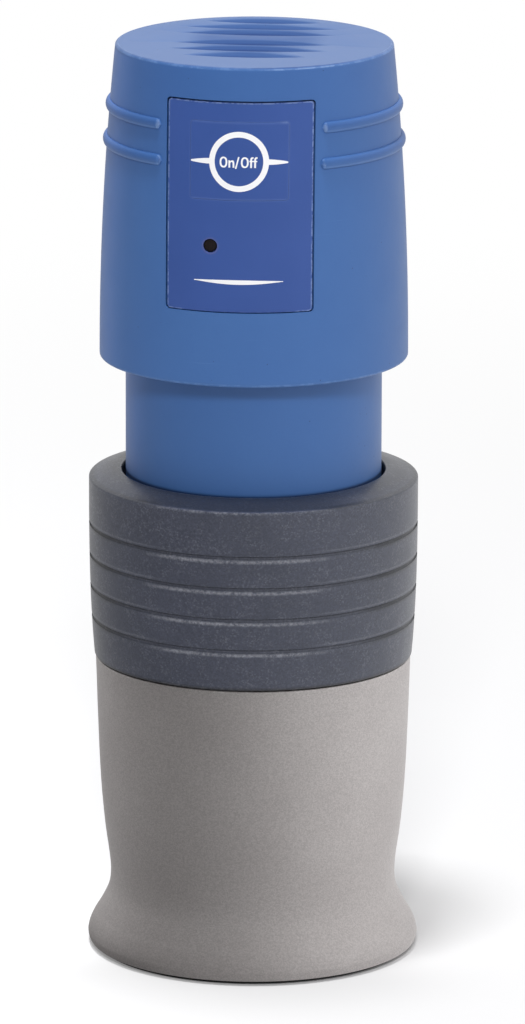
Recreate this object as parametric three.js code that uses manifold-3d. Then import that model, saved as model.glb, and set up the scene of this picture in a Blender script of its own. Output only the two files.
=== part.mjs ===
// Analytical mill: a motor head that stands in a grip collar on a waisted base, with a milling
// beaker inside. Millimetres, +Z up, origin on the table at the middle of the foot, panel on -Y.
import * as THREE from 'three';
import { mergeVertices } from 'three/addons/utils/BufferGeometryUtils.js';
import Module from 'manifold-3d';

const wasm = await Module();
wasm.setup();

// Gaps and cuts
const seatGap = 0.3;
const overrun = 4;

// Facets round a turned piece
const shellSides = 32;
const lidSides = 24;
const innerSides = 16;
const rodSides = 8;
const screwSides = 6;
const curveSteps = 5;
const insideSteps = 2;
const springSteps = 5;

// Neck of the drive, which sets the radii of what slides round it and stands inside it
const neckRadius = 33;
const neckWall = 2.5;
const neckClearance = 0.9;
const neckFlange = 2.5;
const neckFlangeDrop = 1.7;

// Grip collar
const collarWall = 8.6;
const collarTaper = 1.4;
const collarHeight = 47;
const collarRise = 2.1;
const collarEdge = 0.8;
const rimEdge = 0.35;
const grooveCount = 4;
const groovePitch = 8.23;
const topGrooveDrop = 12.1;
const grooveWidth = 2;
const grooveDepth = 0.7;
const grooveApexShare = 0.8;

// Base shell
const baseTop = 77.7;
const baseStep = 0.3;
const baseWall = 2.6;
const waistHeight = 19.2;
const waistDepth = 3.8;
const footFlare = 6.1;
const toeRound = 2.3;
const spigotInset = 2.4;
const spigotWall = 2.4;
const spigotHeight = 5.7;
const shelfThickness = 3;
const shelfWidth = 3.7;
const flareShare = [0.27, 0.58];
const bodyHeightShare = [0.1, 0.28];
const bodyRadiusShare = [0.05, 0.8];

// Foot
const footStand = 1;
const footLip = 2.2;
const plateThickness = 3;
const footRingInset = 0.3;
const footRingWidth = 5.2;
const baseScrewCount = 3;
const baseScrewLength = 10;
const bossRadius = 3.8;
const bossBite = 0.6;

// Screws
const screwRadius = 1.5;
const screwHeadRadius = 2.7;
const screwHeadHeight = 1.4;

// Beaker and its holder
const beakerInset = 5;
const beakerWall = 1.5;
const beakerDepth = 43.4;
const beakerFlange = 3;
const flangeClearance = 1;
const beakerClearance = 0.5;
const beakerRound = 2;
const holderWall = 2;
const holderFlange = 3;
const floorDisc = 3;

// Chamber lid
const lidThickness = 3;
const lidSpigotClearance = 0.5;
const lidSpigotDepth = 5;
const lidSpigotWidth = 4;
const lidHubRadius = 10.3;
const lidHubDepth = 6;
const lidHubWall = 2;
const sealSection = 1.1;
const shaftSealHeight = 4;
const lidScrewCount = 3;

// Head
const headReach = 6.7;
const headHeight = 81.6;
const headTaper = 4.15;
const headWall = 3;
const skirtDrop = 9.4;
const skirtEdge = 0.6;
const headEdge = 1.2;
const ledgeWidth = 2.7;
const ledgeThickness = 2.4;
const ventRing = 2.5;
const ventSlots = 16;
const ventSlotWidth = 2;

// Grip flutes on the top
const fluteHalfLengths = [13.6, 18.3, 19.3, 19.3, 19, 14.8];
const flutePitch = 8.5;
const fluteLand = 5;
const fluteOffset = 4.2;
const fluteWidth = 6.8;
const fluteDepth = 1;

// Ribs on the sides
const ribDrops = [24.9, 15.8];
const ribEndAngles = [32.3, 33.5];
const ribWidth = 2.9;
const ribProud = 1.05;

// Panel, key and status light
const panelWidth = 37.7;
const panelRise = 19.2;
const panelDrop = 8.2;
const panelCorner = 1.1;
const panelInset = 0.2;
const panelThickness = 1.4;
const keyWidth = 25;
const keyHeightShare = 0.367;
const keyRiseShare = 0.5325;
const keyCorner = 1.5;
const keyThickness = 2.5;
const keyTravel = 0.5;
const keyStemRadius = 2;
const lightRiseShare = 0.315;
const lightAngle = 10.6;
const lightRadius = 1.6;

// Control board behind the panel
const boardSetback = 6.8;
const boardThickness = 1.6;
const boardWidth = 34;
const boardRise = 6.2;
const boardOverlap = 0.5;
const postInset = 3.6;
const postRadius = 2.3;
const boardScrewRadius = 1;
const boardScrewHead = 1.9;
const boardScrewLength = 5;
const switchSize = 6;
const switchDepth = 3.5;
const capacitorSize = [18, 10];
const capacitorShift = 0;
const capacitorShare = [0.24, 0.29];
const triacSize = [11, 5];
const triacShift = 7.5;
const triacShare = [0.62, 0.31];
const terminalSize = [12, 10];
const terminalShift = -8;
const terminalShare = [0.62, 0.19];

// Cable gland at the rear
const glandRise = 21.4;
const glandRadius = 5.2;
const glandBore = 3.3;
const glandFlangeRadius = 7;
const glandFlange = 2;

// Shaft and beater
const shaftRadius = 4;
const shaftTipRadius = 2.5;
const shaftTopRadius = 3;
const shaftTopLength = 1;
const beaterLift = 10.8;
const beaterHeight = 5;
const beaterHubRadius = 7;
const beaterClearance = 5.5;
const beaterRootWidth = 10;
const beaterTipWidth = 6.5;
const beaterBlade = 3;
const beaterBevel = 0.9;
const nutFlats = 8;
const nutHeight = 3.6;
const tipStickOut = 0.8;

// Bearings and brackets
const bracketPlate = 4;
const bearingRadius = 11;
const bearingHeight = 7;
const bearingHousingWall = 2.7;
const topBracketPlate = 3;
const topBearingRadius = 9.5;
const topBearingHeight = 6;
const mountRing = 2.4;

// Cooling fan
const fanClearance = 1.1;
const fanHeight = 8;
const fanDisc = 1.4;
const fanBlades = 9;
const fanBladeWidth = 1.4;
const fanHubRadius = 7;
const fanGap = 2;
const windingGap = 3.3;

// Field core and coils
const coreGap = 2;
const flatDepth = 2.3;
const yokeShare = 0.18;
const lobeWidth = 7.7;
const poleShare = 0.38;
const stackHeight = 32;
const shoeThickness = 1.3;
const coilThickness = 3.8;
const poleAngle = 30;
const shoeAngle = 50;
const coilAngle = 47;
const lobeAngle = 22;
const tieInset = 3.9;
const tieRadius = 2;
const tieHeadRadius = 3.5;
const tieHeadHeight = 3;

// Armature and commutator
const airGap = 0.6;
const armatureSlots = 10;
const slotDepthShare = 0.35;
const slotWidth = 3;
const slotMouth = 1.2;
const windingBell = 4.3;
const windingInset = 2;
const commutatorShare = 0.42;
const commutatorHeight = 12;
const commutatorGap = 1.7;
const bracketGap = 3;
const riserWidth = 1.2;
const riserHeight = 2;

// Brushes
const brushSide = 6;
const brushLengthShare = 0.54;
const brushRaise = 1.5;
const brushHolderWall = 1.2;
const brushHolderGap = 2;
const brushHolderInset = 2.5;
const lugLength = 6;
const brushSpringTurns = 3;
const brushSpringRadius = 2.2;
const springWire = 0.35;

// Interlock pin, its spring and its switch
const pinInset = 2.9;
const pinAngle = 135;
const pinRadius = 1;
const pinCollarRadius = 2.1;
const pinCollarThickness = 1.2;
const pinCollarRise = 3.3;
const pinSpringTurns = 3;
const pinSpringRadius = 1.85;
const interlockSize = [10, 6, 8.7];
const interlockShift = 2;

// Radii worked out from the sizes above
const neckInner = neckRadius - neckWall;
const collarBore = neckRadius + neckClearance;
const collarRadius = collarBore + collarWall;
const baseTopRadius = collarRadius - collarTaper - baseStep;
const waistRadius = baseTopRadius - waistDepth;
const footRadius = waistRadius + footFlare;
const spigotRadius = baseTopRadius - spigotInset;
const plateRadius = footRadius - footLip;
const footRingOuter = plateRadius - footRingInset;
const cavityRadius = waistRadius - baseWall;
const baseScrewCircle = cavityRadius - bossRadius + bossBite;
const holderOuter = spigotRadius - spigotWall - seatGap;
const beakerRadius = neckRadius - beakerInset;
const beakerInner = beakerRadius - beakerWall;
const beakerFlangeRadius = collarBore - flangeClearance;
const holderInner = beakerRadius + beakerClearance;
const lidSpigotRadius = beakerInner - lidSpigotClearance;
const lidSpigotInner = lidSpigotRadius - lidSpigotWidth;
const lidScrewCircle = (lidHubRadius + lidSpigotInner) / 2;
const headRadius = neckRadius + headReach;
const headInner = headRadius - headWall;
const boardPlane = headRadius - headTaper - headWall - boardSetback;
const boardFront = boardPlane + boardThickness;
const beaterRadius = beakerInner - beaterClearance;
const coreRadius = neckInner - coreGap;
const coreFlat = coreRadius - flatDepth;
const yokeInner = coreRadius * (1 - yokeShare);
const lobeInner = coreRadius - lobeWidth;
const poleRadius = coreRadius * (1 - poleShare);
const tieCircle = coreRadius - tieInset;
const fanRadius = tieCircle - tieRadius - fanClearance;
const armatureRadius = poleRadius - airGap;
const slotDepth = armatureRadius * slotDepthShare;
const windingRadius = armatureRadius - windingInset;
const commutatorRadius = coreRadius * commutatorShare;
const riserRadius = commutatorRadius + riserWidth;
const brushHolderStart = commutatorRadius + brushHolderGap;
const brushHolderEnd = neckInner - brushHolderInset;
const brushLength = (brushHolderEnd - commutatorRadius) * brushLengthShare;
const pinCircle = neckInner - pinInset;

// Heights worked out from the sizes above, from the base up
const spigotTop = baseTop + spigotHeight;
const shelfTop = spigotTop - holderFlange - seatGap;
const beakerSeat = spigotTop + seatGap;
const beakerTop = beakerSeat + beakerFlange;
const chamberFloor = beakerTop - beakerDepth;
const beakerBottom = chamberFloor - floorDisc - seatGap - beakerWall;
const holderFloorTop = beakerBottom - seatGap;
const collarBottom = baseTop + seatGap;
const collarTop = collarBottom + collarHeight;
const lidBottom = beakerTop + seatGap;
const lidHubBottom = lidBottom - lidHubDepth;
const lidTop = lidBottom + lidThickness;
const neckBottom = lidTop + seatGap;
const bracketTop = neckBottom + bracketPlate;
const bearingBottom = neckBottom + shelfThickness / 2;
const bearingTop = bearingBottom + bearingHeight;
const fanBottom = bearingTop + fanGap;
const stackBottom = fanBottom + fanHeight + windingGap + windingBell;
const stackTop = stackBottom + stackHeight;
const commutatorBottom = stackTop + windingBell + commutatorGap;
const brushHeight = commutatorBottom + riserHeight + brushSide / 2 + brushRaise;
const topBracket = commutatorBottom + commutatorHeight + bracketGap;
const topPlate = topBracket + topBracketPlate;
const topBearingTop = topPlate + topBearingHeight;
const shaftTop = topBearingTop + shaftTopLength;
const pinCollarHeight = stackTop + pinCollarRise;
const neckTop = topBracket - mountRing - 2 * seatGap;
const neckFlangeTop = neckTop - neckFlangeDrop;
const neckFlangeBottom = neckFlangeTop - neckFlange;
const skirtBottom = neckTop - skirtDrop;
const headTop = skirtBottom + headHeight;
const panelBottom = skirtBottom + panelRise;
const panelTop = headTop - panelDrop;
const panelHeight = panelTop - panelBottom;
const keyBottom = panelBottom + panelHeight * keyRiseShare;
const keyTop = keyBottom + panelHeight * keyHeightShare;
const lightHeight = panelBottom + panelHeight * lightRiseShare;
const boardBottom = panelBottom + boardRise;
const boardTop = panelTop + boardOverlap;
const glandHeight = skirtBottom + glandRise;
const beaterBottom = chamberFloor + beaterLift;
const shaftEnd = beaterBottom - seatGap - nutHeight - tipStickOut;

// Geometry helpers
const degrees = THREE.MathUtils.degToRad;
const fullTurn = 2 * Math.PI;

function closeMesh(geometry) {
  const bare = geometry.clone();
  bare.deleteAttribute('normal');
  bare.deleteAttribute('uv');
  const merged = mergeVertices(bare, 1e-4);
  const corners = merged.index.array;
  const places = merged.attributes.position;
  const kept = [];
  let volume = 0;
  const a = new THREE.Vector3();
  const b = new THREE.Vector3();
  const c = new THREE.Vector3();
  for (let i = 0; i < corners.length; i += 3) {
    const [p, q, r] = [corners[i], corners[i + 1], corners[i + 2]];
    if (p === q || q === r || r === p) continue;
    kept.push(p, q, r);
    a.fromBufferAttribute(places, p);
    b.fromBufferAttribute(places, q);
    c.fromBufferAttribute(places, r);
    volume += a.dot(b.cross(c));
  }
  if (volume < 0) kept.reverse();
  merged.setIndex(kept);
  return merged;
}

function toSolid(geometry) {
  const closed = closeMesh(geometry);
  const vertProperties = new Float32Array(closed.attributes.position.array);
  const triVerts = new Uint32Array(closed.index.array);
  return new wasm.Manifold(new wasm.Mesh({ numProp: 3, vertProperties, triVerts }));
}

function fromSolid(solid) {
  const mesh = solid.getMesh();
  const geometry = new THREE.BufferGeometry();
  geometry.setAttribute('position', new THREE.BufferAttribute(mesh.vertProperties, 3));
  geometry.setIndex(new THREE.BufferAttribute(mesh.triVerts, 1));
  return geometry;
}

function join(first, ...others) {
  return fromSolid(others.reduce((sum, other) => sum.add(toSolid(other)), toSolid(first)));
}

function cut(first, ...others) {
  return fromSolid(others.reduce((rest, other) => rest.subtract(toSolid(other)), toSolid(first)));
}

function overlap(first, second) {
  return fromSolid(toSolid(first).intersect(toSolid(second)));
}

// A profile of [radius, height] points, turned about Z. It closes on itself.
function turned(profile, sides) {
  const points = [...profile, profile[0]].map(([radius, height]) => new THREE.Vector2(radius, height));
  return new THREE.LatheGeometry(points, sides).rotateX(Math.PI / 2);
}

function ring(inner, outer, bottom, top, sides) {
  return turned([[inner, bottom], [outer, bottom], [outer, top], [inner, top]], sides);
}

function disc(radius, bottom, top, sides) {
  return ring(0, radius, bottom, top, sides);
}

// A rod along Y from the plane near to the plane far, both in front of the axis
function frontRod(radius, x, height, near, far, sides) {
  const rod = new THREE.CylinderGeometry(radius, radius, Math.abs(far - near), sides);
  return rod.translate(x, -(near + far) / 2, height);
}

function box(size, place) {
  return new THREE.BoxGeometry(...size).translate(...place);
}

function roundedRectangle(width, bottom, top, corner) {
  const side = width / 2 - corner;
  const shape = new THREE.Shape();
  shape.absarc(side, bottom + corner, corner, -Math.PI / 2, 0);
  shape.absarc(side, top - corner, corner, 0, Math.PI / 2);
  shape.absarc(-side, top - corner, corner, Math.PI / 2, Math.PI);
  shape.absarc(-side, bottom + corner, corner, Math.PI, 1.5 * Math.PI);
  shape.closePath();
  return shape;
}

// An outline in the XZ plane pushed forward from the plane near past the head's skin
function frontPrism(shape, near) {
  const depth = headRadius + overrun - near;
  const prism = new THREE.ExtrudeGeometry(shape, { depth, bevelEnabled: false, curveSegments: 2 });
  return prism.rotateX(Math.PI / 2).translate(0, -near, 0);
}

function slab(shape, bottom, top) {
  const settings = { depth: top - bottom, bevelEnabled: false, curveSegments: curveSteps };
  return new THREE.ExtrudeGeometry(shape, settings).translate(0, 0, bottom);
}

// A slice of a ring between two angles, drawn as an outline
function sector(inner, outer, from, to) {
  const shape = new THREE.Shape();
  shape.absarc(0, 0, outer, from, to);
  shape.absarc(0, 0, inner, to, from, true);
  shape.closePath();
  return shape;
}

function spring(radius, wire, length, turns) {
  class Helix extends THREE.Curve {
    getPoint(share, target = new THREE.Vector3()) {
      const angle = share * turns * fullTurn;
      return target.set(radius * Math.cos(angle), radius * Math.sin(angle), share * length);
    }
  }
  const section = new THREE.Shape();
  section.absarc(0, 0, wire, 0, fullTurn);
  const settings = { steps: turns * springSteps, curveSegments: 2, extrudePath: new Helix() };
  return new THREE.ExtrudeGeometry(section, settings);
}

function turnedTo(geometry, angle) {
  return geometry.clone().rotateZ(angle);
}

function around(count, make) {
  return Array.from({ length: count }, (_, index) => make(index * fullTurn / count, index));
}

function bezier(start, firstPull, lastPull, end, steps) {
  const points = [start, firstPull, lastPull, end].map(([x, y]) => new THREE.Vector2(x, y));
  const curve = new THREE.CubicBezierCurve(...points);
  return curve.getPoints(steps).map((point) => [point.x, point.y]);
}

// The model
const mill = new THREE.Group();

const finishes = {
  baseGrey: { color: 0x9a9494, roughness: 0.45, metalness: 0.35 },
  collarGrey: { color: 0x4c505c, roughness: 0.7, metalness: 0 },
  headBlue: { color: 0x486fa9, roughness: 0.45, metalness: 0 },
  panelBlue: { color: 0x3d5c9a, roughness: 0.4, metalness: 0 },
  blackPlastic: { color: 0x25262a, roughness: 0.5, metalness: 0 },
  rubber: { color: 0x1e1e20, roughness: 0.85, metalness: 0 },
  steel: { color: 0xb9bbbd, roughness: 0.3, metalness: 1 },
  hardSteel: { color: 0x8f9296, roughness: 0.35, metalness: 1 },
  brass: { color: 0xb08d4a, roughness: 0.35, metalness: 1 },
  copper: { color: 0xa85f33, roughness: 0.4, metalness: 1 },
  carbon: { color: 0x3a3a3c, roughness: 0.7, metalness: 0 },
  boardGreen: { color: 0x2c5a3c, roughness: 0.6, metalness: 0 },
  capYellow: { color: 0xc9a53a, roughness: 0.5, metalness: 0 },
  darkLens: { color: 0x1b1414, roughness: 0.15, metalness: 0 },
};

function piece(name, geometry, finish) {
  const mesh = new THREE.Mesh(closeMesh(geometry), new THREE.MeshStandardMaterial(finishes[finish]));
  mesh.name = name;
  mill.add(mesh);
  return mesh;
}

// A pan-head screw that points up along Z, with the underside of its head at zero
function screw(shank, head, headHeight, length) {
  return turned([[0, -headHeight], [head, -headHeight], [head, 0], [shank, 0],
    [shank, length], [0, length]], screwSides);
}

// Base: a waisted shell, its plate and rubber foot
function flareOutline() {
  const bottom = footStand + toeRound;
  const rise = waistHeight - bottom;
  return bezier([footRadius, bottom], [footRadius, bottom + rise * flareShare[0]],
    [waistRadius, bottom + rise * flareShare[1]], [waistRadius, waistHeight], curveSteps);
}

function bodyOutline(inset, steps) {
  const rise = baseTop - waistHeight;
  const swell = baseTopRadius - waistRadius;
  const points = bezier([waistRadius, waistHeight],
    [waistRadius + swell * bodyRadiusShare[0], waistHeight + rise * bodyHeightShare[0]],
    [waistRadius + swell * bodyRadiusShare[1], waistHeight + rise * bodyHeightShare[1]],
    [baseTopRadius, baseTop], steps);
  return points.map(([radius, height]) => [radius - inset, height]);
}

function baseShell() {
  const inside = bodyOutline(baseWall, insideSteps).slice(0, insideSteps);
  const rebateRadius = plateRadius + seatGap;
  const rebateTop = footStand + plateThickness + seatGap;
  const boreRadius = holderOuter + seatGap;
  const shelfInner = boreRadius - shelfWidth;
  const shoulderBottom = shelfTop - 2 * shelfThickness;
  const shell = turned([
    [rebateRadius, footStand], [footRadius - toeRound / 2, footStand],
    ...flareOutline(), ...bodyOutline(0, curveSteps).slice(1),
    [spigotRadius, baseTop], [spigotRadius, spigotTop], [boreRadius, spigotTop],
    [boreRadius, shelfTop], [shelfInner, shelfTop], [shelfInner, shelfTop - shelfThickness],
    [baseTopRadius - baseWall, shoulderBottom], ...inside.reverse(),
    [cavityRadius, rebateTop], [rebateRadius, rebateTop],
  ], shellSides);
  const holeRadius = screwRadius + seatGap;
  const bossTop = rebateTop + baseScrewLength + holeRadius;
  const bosses = around(baseScrewCount, (angle) => turnedTo(
    disc(bossRadius, rebateTop, bossTop, rodSides).translate(baseScrewCircle, 0, 0), angle));
  const holes = around(baseScrewCount, (angle) => turnedTo(
    disc(holeRadius, footStand, bossTop - screwRadius, rodSides).translate(baseScrewCircle, 0, 0), angle));
  return cut(join(shell, ...bosses), ...holes);
}

function basePlate() {
  const plate = disc(plateRadius, footStand, footStand + plateThickness, shellSides);
  const boreDepth = screwHeadHeight + 2 * seatGap;
  const cuts = around(baseScrewCount, (angle) => {
    const head = disc(screwHeadRadius + seatGap, footStand - overrun, footStand + boreDepth, rodSides);
    const shank = disc(screwRadius + seatGap, footStand, footStand + plateThickness + overrun, rodSides);
    return turnedTo(join(head, shank).translate(baseScrewCircle, 0, 0), angle);
  });
  return cut(plate, ...cuts);
}

piece('base_shell', baseShell(), 'baseGrey');
piece('base_plate', basePlate(), 'blackPlastic');
piece('foot_ring', ring(footRingOuter - footRingWidth, footRingOuter, 0, footStand - seatGap,
  shellSides), 'rubber');
around(baseScrewCount, (angle, index) => {
  const shape = screw(screwRadius, screwHeadRadius, screwHeadHeight, baseScrewLength);
  const underHead = footStand + screwHeadHeight + seatGap;
  const placed = turnedTo(shape.translate(baseScrewCircle, 0, underHead), angle);
  piece(`base_screw_${index + 1}`, placed, 'steel');
});

// Grip collar with its turned grooves
function collarRadiusAt(height) {
  const share = (collarTop - height) / collarHeight;
  return collarRadius - collarTaper * share ** 3;
}

function gripCollar() {
  const side = [];
  for (let index = grooveCount - 1; index >= 0; index -= 1) {
    const middle = collarTop - topGrooveDrop - index * groovePitch;
    const low = middle - grooveWidth / 2;
    const high = middle + grooveWidth / 2;
    const apex = low + grooveWidth * grooveApexShare;
    side.push([collarRadiusAt(low), low], [collarRadiusAt(apex) - grooveDepth, apex]);
    side.push([collarRadiusAt(high), high]);
  }
  const rebate = spigotRadius + seatGap;
  const rimTop = collarTop + collarRise;
  return turned([
    [rebate, collarBottom], [collarRadiusAt(collarBottom), collarBottom], ...side,
    [collarRadius, collarTop - collarEdge], [collarRadius - collarEdge, collarTop],
    [collarBore + rimEdge, rimTop], [collarBore, rimTop - rimEdge],
    [collarBore, spigotTop + seatGap], [rebate, spigotTop + seatGap],
  ], shellSides);
}

piece('grip_collar', gripCollar(), 'collarGrey');

// Beaker holder, beaker and its hard floor
const holderRadius = holderInner + holderWall;
piece('beaker_holder', turned([
  [0, holderFloorTop - holderWall], [holderRadius, holderFloorTop - holderWall],
  [holderRadius, spigotTop - holderFlange], [holderOuter, spigotTop - holderFlange],
  [holderOuter, spigotTop], [holderInner, spigotTop], [holderInner, holderFloorTop],
  [0, holderFloorTop],
], shellSides), 'blackPlastic');

piece('milling_beaker', turned([
  [0, beakerBottom], [beakerRadius - beakerRound, beakerBottom], [beakerRadius, beakerBottom + beakerRound],
  [beakerRadius, beakerSeat], [beakerFlangeRadius, beakerSeat], [beakerFlangeRadius, beakerTop],
  [beakerInner, beakerTop], [beakerInner, beakerBottom + beakerWall], [0, beakerBottom + beakerWall],
], shellSides), 'steel');
piece('beaker_floor', disc(beakerInner - seatGap, chamberFloor - floorDisc, chamberFloor, lidSides),
  'hardSteel');

// Chamber lid, its seals and screws
const pinX = pinCircle * Math.cos(degrees(pinAngle));
const pinY = pinCircle * Math.sin(degrees(pinAngle));
const screwHole = screwRadius + seatGap;

function lidScrewHoles(bottom, top) {
  return around(lidScrewCount, (angle) => turnedTo(
    disc(screwHole, bottom, top, rodSides).translate(lidScrewCircle, 0, 0), angle));
}

function pinHole(bottom, top) {
  return disc(pinRadius + seatGap, bottom, top, rodSides).translate(pinX, pinY, 0);
}

function chamberLid() {
  const spigotBottom = lidBottom - lidSpigotDepth;
  const sealMiddle = spigotBottom + lidSpigotDepth / 2;
  const grooveHalf = sealSection + seatGap / 2;
  const grooveInner = beakerInner - seatGap - 2 * sealSection - seatGap;
  const pocketRadius = lidHubRadius - lidHubWall;
  const pocketTop = lidHubBottom + shaftSealHeight + 2 * seatGap;
  const lid = turned([
    [pocketRadius, lidHubBottom], [lidHubRadius, lidHubBottom], [lidHubRadius, lidBottom],
    [lidSpigotInner, lidBottom], [lidSpigotInner, spigotBottom], [lidSpigotRadius, spigotBottom],
    [lidSpigotRadius, sealMiddle - grooveHalf], [grooveInner, sealMiddle - grooveHalf],
    [grooveInner, sealMiddle + grooveHalf], [lidSpigotRadius, sealMiddle + grooveHalf],
    [lidSpigotRadius, lidBottom], [neckRadius - seatGap, lidBottom], [neckRadius - seatGap, lidTop],
    [shaftRadius + 2 * seatGap, lidTop], [shaftRadius + 2 * seatGap, pocketTop], [pocketRadius, pocketTop],
  ], lidSides);
  return cut(lid, ...lidScrewHoles(lidBottom - overrun, lidTop + overrun),
    pinHole(lidBottom - overrun / 2, lidTop + overrun));
}

const sealCircle = beakerInner - seatGap - sealSection;
const sealRing = new THREE.TorusGeometry(sealCircle, sealSection, curveSteps, lidSides);
piece('chamber_lid', chamberLid(), 'steel');
piece('lid_seal', sealRing.translate(0, 0, lidBottom - lidSpigotDepth / 2), 'rubber');
piece('shaft_seal', ring(shaftRadius + seatGap, lidHubRadius - lidHubWall - seatGap, lidHubBottom + seatGap,
  lidHubBottom + seatGap + shaftSealHeight, innerSides), 'rubber');
around(lidScrewCount, (angle, index) => {
  const shape = screw(screwRadius, screwHeadRadius, screwHeadHeight, lidThickness + bracketPlate);
  const underHead = lidBottom - seatGap;
  piece(`lid_screw_${index + 1}`, turnedTo(shape.translate(lidScrewCircle, 0, underHead), angle), 'steel');
});

// Neck housing and the slotted floor of the head
piece('neck_housing', turned([
  [neckInner, neckBottom], [neckRadius, neckBottom], [neckRadius, neckFlangeBottom],
  [headInner - seatGap, neckFlangeBottom], [headInner - seatGap, neckFlangeTop],
  [neckRadius, neckFlangeTop], [neckRadius, neckTop], [neckInner, neckTop],
], shellSides), 'headBlue');

function ventFloor() {
  const top = neckFlangeBottom - seatGap;
  const inner = neckRadius + seatGap;
  const outer = headInner - seatGap;
  const plate = ring(inner, outer, top - ventRing, top, shellSides);
  const slotLength = (outer - inner) / 2;
  const middle = (outer + inner) / 2;
  const slots = around(ventSlots, (angle) => turnedTo(
    box([slotLength, ventSlotWidth, ventRing + overrun], [middle, 0, top - ventRing / 2]), angle));
  return cut(plate, ...slots);
}
piece('vent_ring', ventFloor(), 'blackPlastic');

// Head housing with ribs, flutes, panel pocket, key window and gland hole
function headRadiusAt(height) {
  const share = (height - skirtBottom) / (headTop - skirtBottom);
  return headRadius - headTaper * share ** 2;
}

function headOutline(inset, bottom, top, steps = curveSteps) {
  const points = [];
  for (let step = 0; step <= steps; step += 1) {
    const height = bottom + (top - bottom) * step / steps;
    points.push([headRadiusAt(height) - inset, height]);
  }
  return points;
}

function rib(height, endAngle) {
  const radius = headRadiusAt(height);
  const section = [[radius - ribProud, height - ribWidth / 2]];
  for (let step = 0; step <= 3; step += 1) {
    const angle = Math.PI * step / 3 - Math.PI / 2;
    section.push([radius + ribProud * Math.cos(angle), height + Math.sin(angle) * ribWidth / 2]);
  }
  section.push([radius - ribProud, height + ribWidth / 2]);
  const half = degrees(endAngle);
  const reach = radius + overrun;
  const opening = new THREE.Shape();
  opening.moveTo(0, 0);
  opening.lineTo(-reach * Math.tan(half), -reach);
  opening.lineTo(reach * Math.tan(half), -reach);
  opening.closePath();
  return cut(turned(section, shellSides), slab(opening, height - ribWidth, height + ribWidth));
}

function flute(index) {
  const half = fluteHalfLengths[index];
  const points = [];
  for (let step = 0; step <= curveSteps; step += 1) {
    const along = step / curveSteps * 2 - 1;
    points.push(new THREE.Vector2((1 - along ** 2) * fluteWidth / 2, along * half));
  }
  const lens = new THREE.LatheGeometry(points, rodSides);
  lens.rotateZ(Math.PI / 2).scale(1, 1, 2 * fluteDepth / fluteWidth);
  const rank = (fluteHalfLengths.length - 1) / 2 - index;
  const shift = rank * flutePitch + Math.sign(rank) * fluteLand / 2;
  return lens.translate(0, fluteOffset + shift, headTop);
}

const postPlaces = [-1, 1].flatMap((side) => [boardBottom + postInset, boardTop - postInset]
  .map((height) => [side * (boardWidth / 2 - postInset), height]));
const lightX = -headRadiusAt(lightHeight) * Math.sin(degrees(lightAngle));
const pocketInset = panelInset + panelThickness + seatGap;

function headHousing() {
  const topInside = headTop - headWall;
  const ledgeBottom = neckFlangeTop + seatGap;
  const ledgeTop = ledgeBottom + ledgeThickness;
  const shell = turned([
    [headInner, skirtBottom], [headRadius - skirtEdge, skirtBottom],
    ...headOutline(0, skirtBottom + skirtEdge, headTop - headEdge),
    [headRadiusAt(headTop) - headEdge, headTop], [0, headTop], [0, topInside],
    ...headOutline(headWall, ledgeTop, topInside, insideSteps).reverse(),
    [headInner - ledgeWidth, ledgeTop], [headInner - ledgeWidth, ledgeBottom], [headInner, ledgeBottom],
  ], shellSides);
  const posts = postPlaces.map(([x, height]) => frontRod(postRadius, x, height,
    boardFront + seatGap, headRadiusAt(height) - headWall, rodSides));
  const ribs = ribDrops.map((drop, index) => rib(headTop - drop, ribEndAngles[index]));
  const whole = join(shell, ...posts, ...ribs);
  const flutes = fluteHalfLengths.map((_, index) => flute(index));
  const pocketSkin = turned([
    ...headOutline(pocketInset, panelBottom - overrun, panelTop + overrun),
    ...headOutline(-overrun, panelBottom - overrun, panelTop + overrun).reverse(),
  ], shellSides);
  const pocketOutline = roundedRectangle(panelWidth, panelBottom, panelTop, panelCorner);
  const pocket = overlap(pocketSkin, frontPrism(pocketOutline, boardFront));
  const keyOutline = roundedRectangle(keyWidth, keyBottom, keyTop, keyCorner);
  const window = frontPrism(keyOutline, boardFront + postRadius);
  const lightHole = frontRod(lightRadius + seatGap, lightX, lightHeight, boardFront, headRadius, rodSides);
  const glandHole = frontRod(glandRadius + seatGap, 0, glandHeight, boardFront, headRadius + overrun,
    innerSides);
  const screwHoles = postPlaces.map(([x, height]) => frontRod(boardScrewRadius + seatGap, x, height,
    boardPlane, boardFront + boardScrewLength, rodSides));
  return cut(whole, ...flutes, pocket, window, lightHole, glandHole.rotateZ(Math.PI), ...screwHoles);
}

piece('head_housing', headHousing(), 'headBlue');

function panelSkin(thickness) {
  return turned([
    ...headOutline(panelInset + thickness, panelBottom - overrun, panelTop + overrun),
    ...headOutline(panelInset, panelBottom - overrun, panelTop + overrun).reverse(),
  ], shellSides);
}

function frontPanel() {
  const outline = roundedRectangle(panelWidth - 2 * seatGap, panelBottom + seatGap, panelTop - seatGap,
    panelCorner);
  const plate = overlap(panelSkin(panelThickness), frontPrism(outline, boardFront));
  const window = frontPrism(roundedRectangle(keyWidth, keyBottom, keyTop, keyCorner), boardFront);
  const lightHole = frontRod(lightRadius + seatGap, lightX, lightHeight, boardFront, headRadius, rodSides);
  return cut(plate, window, lightHole);
}

function onOffKey() {
  const outline = roundedRectangle(keyWidth - 2 * seatGap, keyBottom + seatGap, keyTop - seatGap,
    keyCorner);
  const cap = overlap(panelSkin(keyThickness), frontPrism(outline, boardFront));
  const middle = (keyBottom + keyTop) / 2;
  const stemEnd = boardFront + seatGap + switchDepth + seatGap + keyTravel;
  const stemStart = headRadiusAt(middle) - panelInset - keyThickness / 2;
  return join(cap, frontRod(keyStemRadius, 0, middle, stemEnd, stemStart, rodSides));
}

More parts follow.
